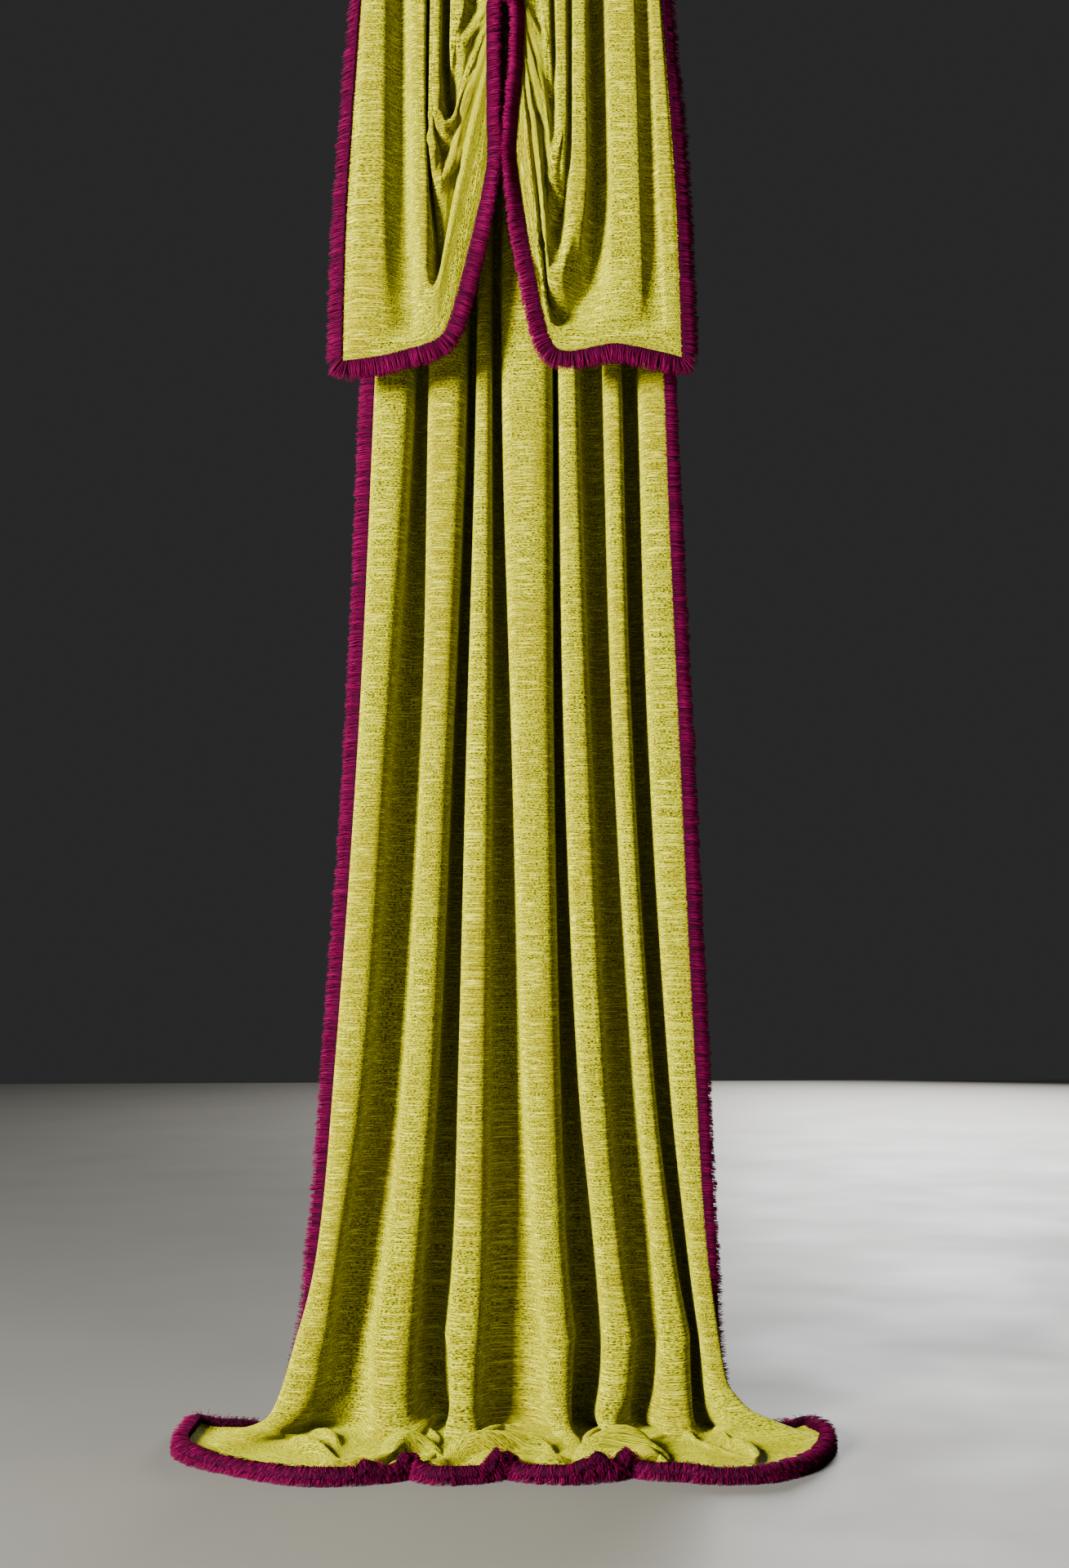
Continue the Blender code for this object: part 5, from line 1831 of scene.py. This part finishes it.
@dataclass
class Studio:
    """Floor, lights and camera. None of it is part of the curtain.

    Args:
        floor_size: side of the floor.
        surround: colour of the dim light from all around.
        surround_strength: how strong that is.
        backdrop: colour that the camera sees behind everything.
        lens: the camera's focal length in mm.
        frame_height: height of its picture in mm.
        camera_place: where it stands.
        pitch: degrees that it looks up.
        roll: degrees that it leans.
    """

    floor_size: float = 17.0
    surround: str = "#8F9092"
    surround_strength: float = 0.008
    backdrop: str = "#2E2E2F"
    lens: float = 50.0
    frame_height: float = 36.0
    camera_place: tuple = (0.042, -4.25, -1.90)
    pitch: float = 3.3
    roll: float = 0.25

    def add_floor(self) -> None:
        """Add the floor."""
        bpy.ops.object.select_all(action="DESELECT")
        bpy.ops.mesh.primitive_plane_add(size=self.floor_size, location=(0, 0, FLOOR))
        floor = bpy.context.object
        floor.name = "studio_floor"
        floor.data.materials.append(StudioFloor().build())

    def add_world(self) -> None:
        """Add a dim light from all around, and a plain backdrop that only the camera sees."""
        world = bpy.data.worlds.new("studio_surround")
        world.use_nodes = True
        tree = world.node_tree
        surround = tree.nodes["Background"]
        surround.inputs["Color"].default_value = linear(self.surround)
        surround.inputs["Strength"].default_value = self.surround_strength
        behind = add_node(tree, "ShaderNodeBackground", {"Color": linear(self.backdrop)})
        rays = add_node(tree, "ShaderNodeLightPath")
        seen = add_node(tree, "ShaderNodeMixShader", {
            0: rays.outputs["Is Camera Ray"], 1: surround.outputs["Background"],
            2: behind.outputs["Background"]})
        tree.links.new(seen.outputs["Shader"], tree.nodes["World Output"].inputs["Surface"])
        bpy.context.scene.world = world

    def add_camera(self) -> None:
        """Add the camera at the viewing angle of the reference."""
        data = bpy.data.cameras.new("camera")
        data.sensor_fit = "VERTICAL"
        data.sensor_height = self.frame_height
        data.lens = self.lens
        camera = bpy.data.objects.new("camera", data)
        camera.location = self.camera_place
        camera.rotation_euler = Euler(
            (math.radians(90 + self.pitch), math.radians(self.roll), 0.0), "XYZ")
        bpy.context.scene.collection.objects.link(camera)
        bpy.context.scene.camera = camera

    def build(self) -> None:
        """Build the studio."""
        self.add_floor()
        self.add_world()
        for lamp in LAMPS:
            lamp.add()
        self.add_camera()


class Curtain:
    """The whole curtain: both panels with their fringes."""

    def __init__(self) -> None:
        """Prepare the finishes."""
        self.velvet = Velvet().build()
        self.yarn = FringeYarn().build()

    def build_long(self) -> None:
        """Build the long panel and its three fringes."""
        cloth = LongPanel().sheet()
        panel = cloth.build(self.velvet)
        every = slice(None)
        left = cloth.edge((every, 0), (every, SIDE_INSET), behind=True)
        low = cloth.edge((-1, every), (-1 - INSET, every))
        right = cloth.edge((every, -1), (every, -1 - SIDE_INSET), upright=True, behind=True)
        fringes = [
            BrushFringe("long_left_fringe", "main_fringe_left", left, 11,
                        thick_beyond=0.46).build(self.yarn),
            BrushFringe("long_hem_fringe", "main_fringe_hem", low, 12).build(self.yarn),
            BrushFringe("long_right_fringe", "main_fringe_right", right, 13,
                        thick_beyond=0.42).build(self.yarn),
        ]
        report([panel, *fringes])

    def build_short(self) -> None:
        """Build the short panel and its three fringes."""
        short = ShortPanel()
        cloth = short.sheet()
        panel = cloth.build(self.velvet)
        low = short.corner_row()
        rows, columns = cloth.grid.shape[:2]
        up = np.arange(low, rows)
        top = np.arange(1, columns - 1)
        picks = (np.concatenate([up, np.full(len(top), rows - 1), up[::-1]]),
                 np.concatenate([np.zeros(len(up), int), top, np.full(len(up), columns - 1)]))
        row, column = rows - 1 - INSET, columns - 1 - INSET
        held = np.minimum(up, row)
        inner = (np.concatenate([held, np.full(len(top), row), held[::-1]]),
                 np.concatenate([np.full(len(up), INSET), top, np.full(len(up), column)]))
        sides = slice(0, low + 1)
        left = cloth.edge((sides, 0), (sides, INSET))
        slit = cloth.edge(picks, inner, upright=True)
        right = cloth.edge((sides, -1), (sides, -1 - INSET))
        fringes = [
            BrushFringe("short_left_fringe", "overlay_fringe_left", left, 21).build(self.yarn),
            BrushFringe("short_hem_fringe", "overlay_fringe_hem", slit, 22,
                        Lie.SLIT).build(self.yarn),
            BrushFringe("short_right_fringe", "overlay_fringe_right", right, 23).build(self.yarn),
        ]
        report([panel, *fringes])


def report(pieces: list[bpy.types.Object]) -> None:
    """Log each piece with its number of triangles.

    Args:
        pieces: the objects.
    """
    for piece in pieces:
        triangles = sum(len(face.vertices) - 2 for face in piece.data.polygons)
        LOG.info("%s: %d triangles", piece.name, triangles)


def main() -> None:
    """Load the frame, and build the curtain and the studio."""
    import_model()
    curtain = Curtain()
    curtain.build_long()
    curtain.build_short()
    Studio().build()


if __name__ == "__main__":
    logging.basicConfig(level=logging.INFO, format="%(message)s")
    main()
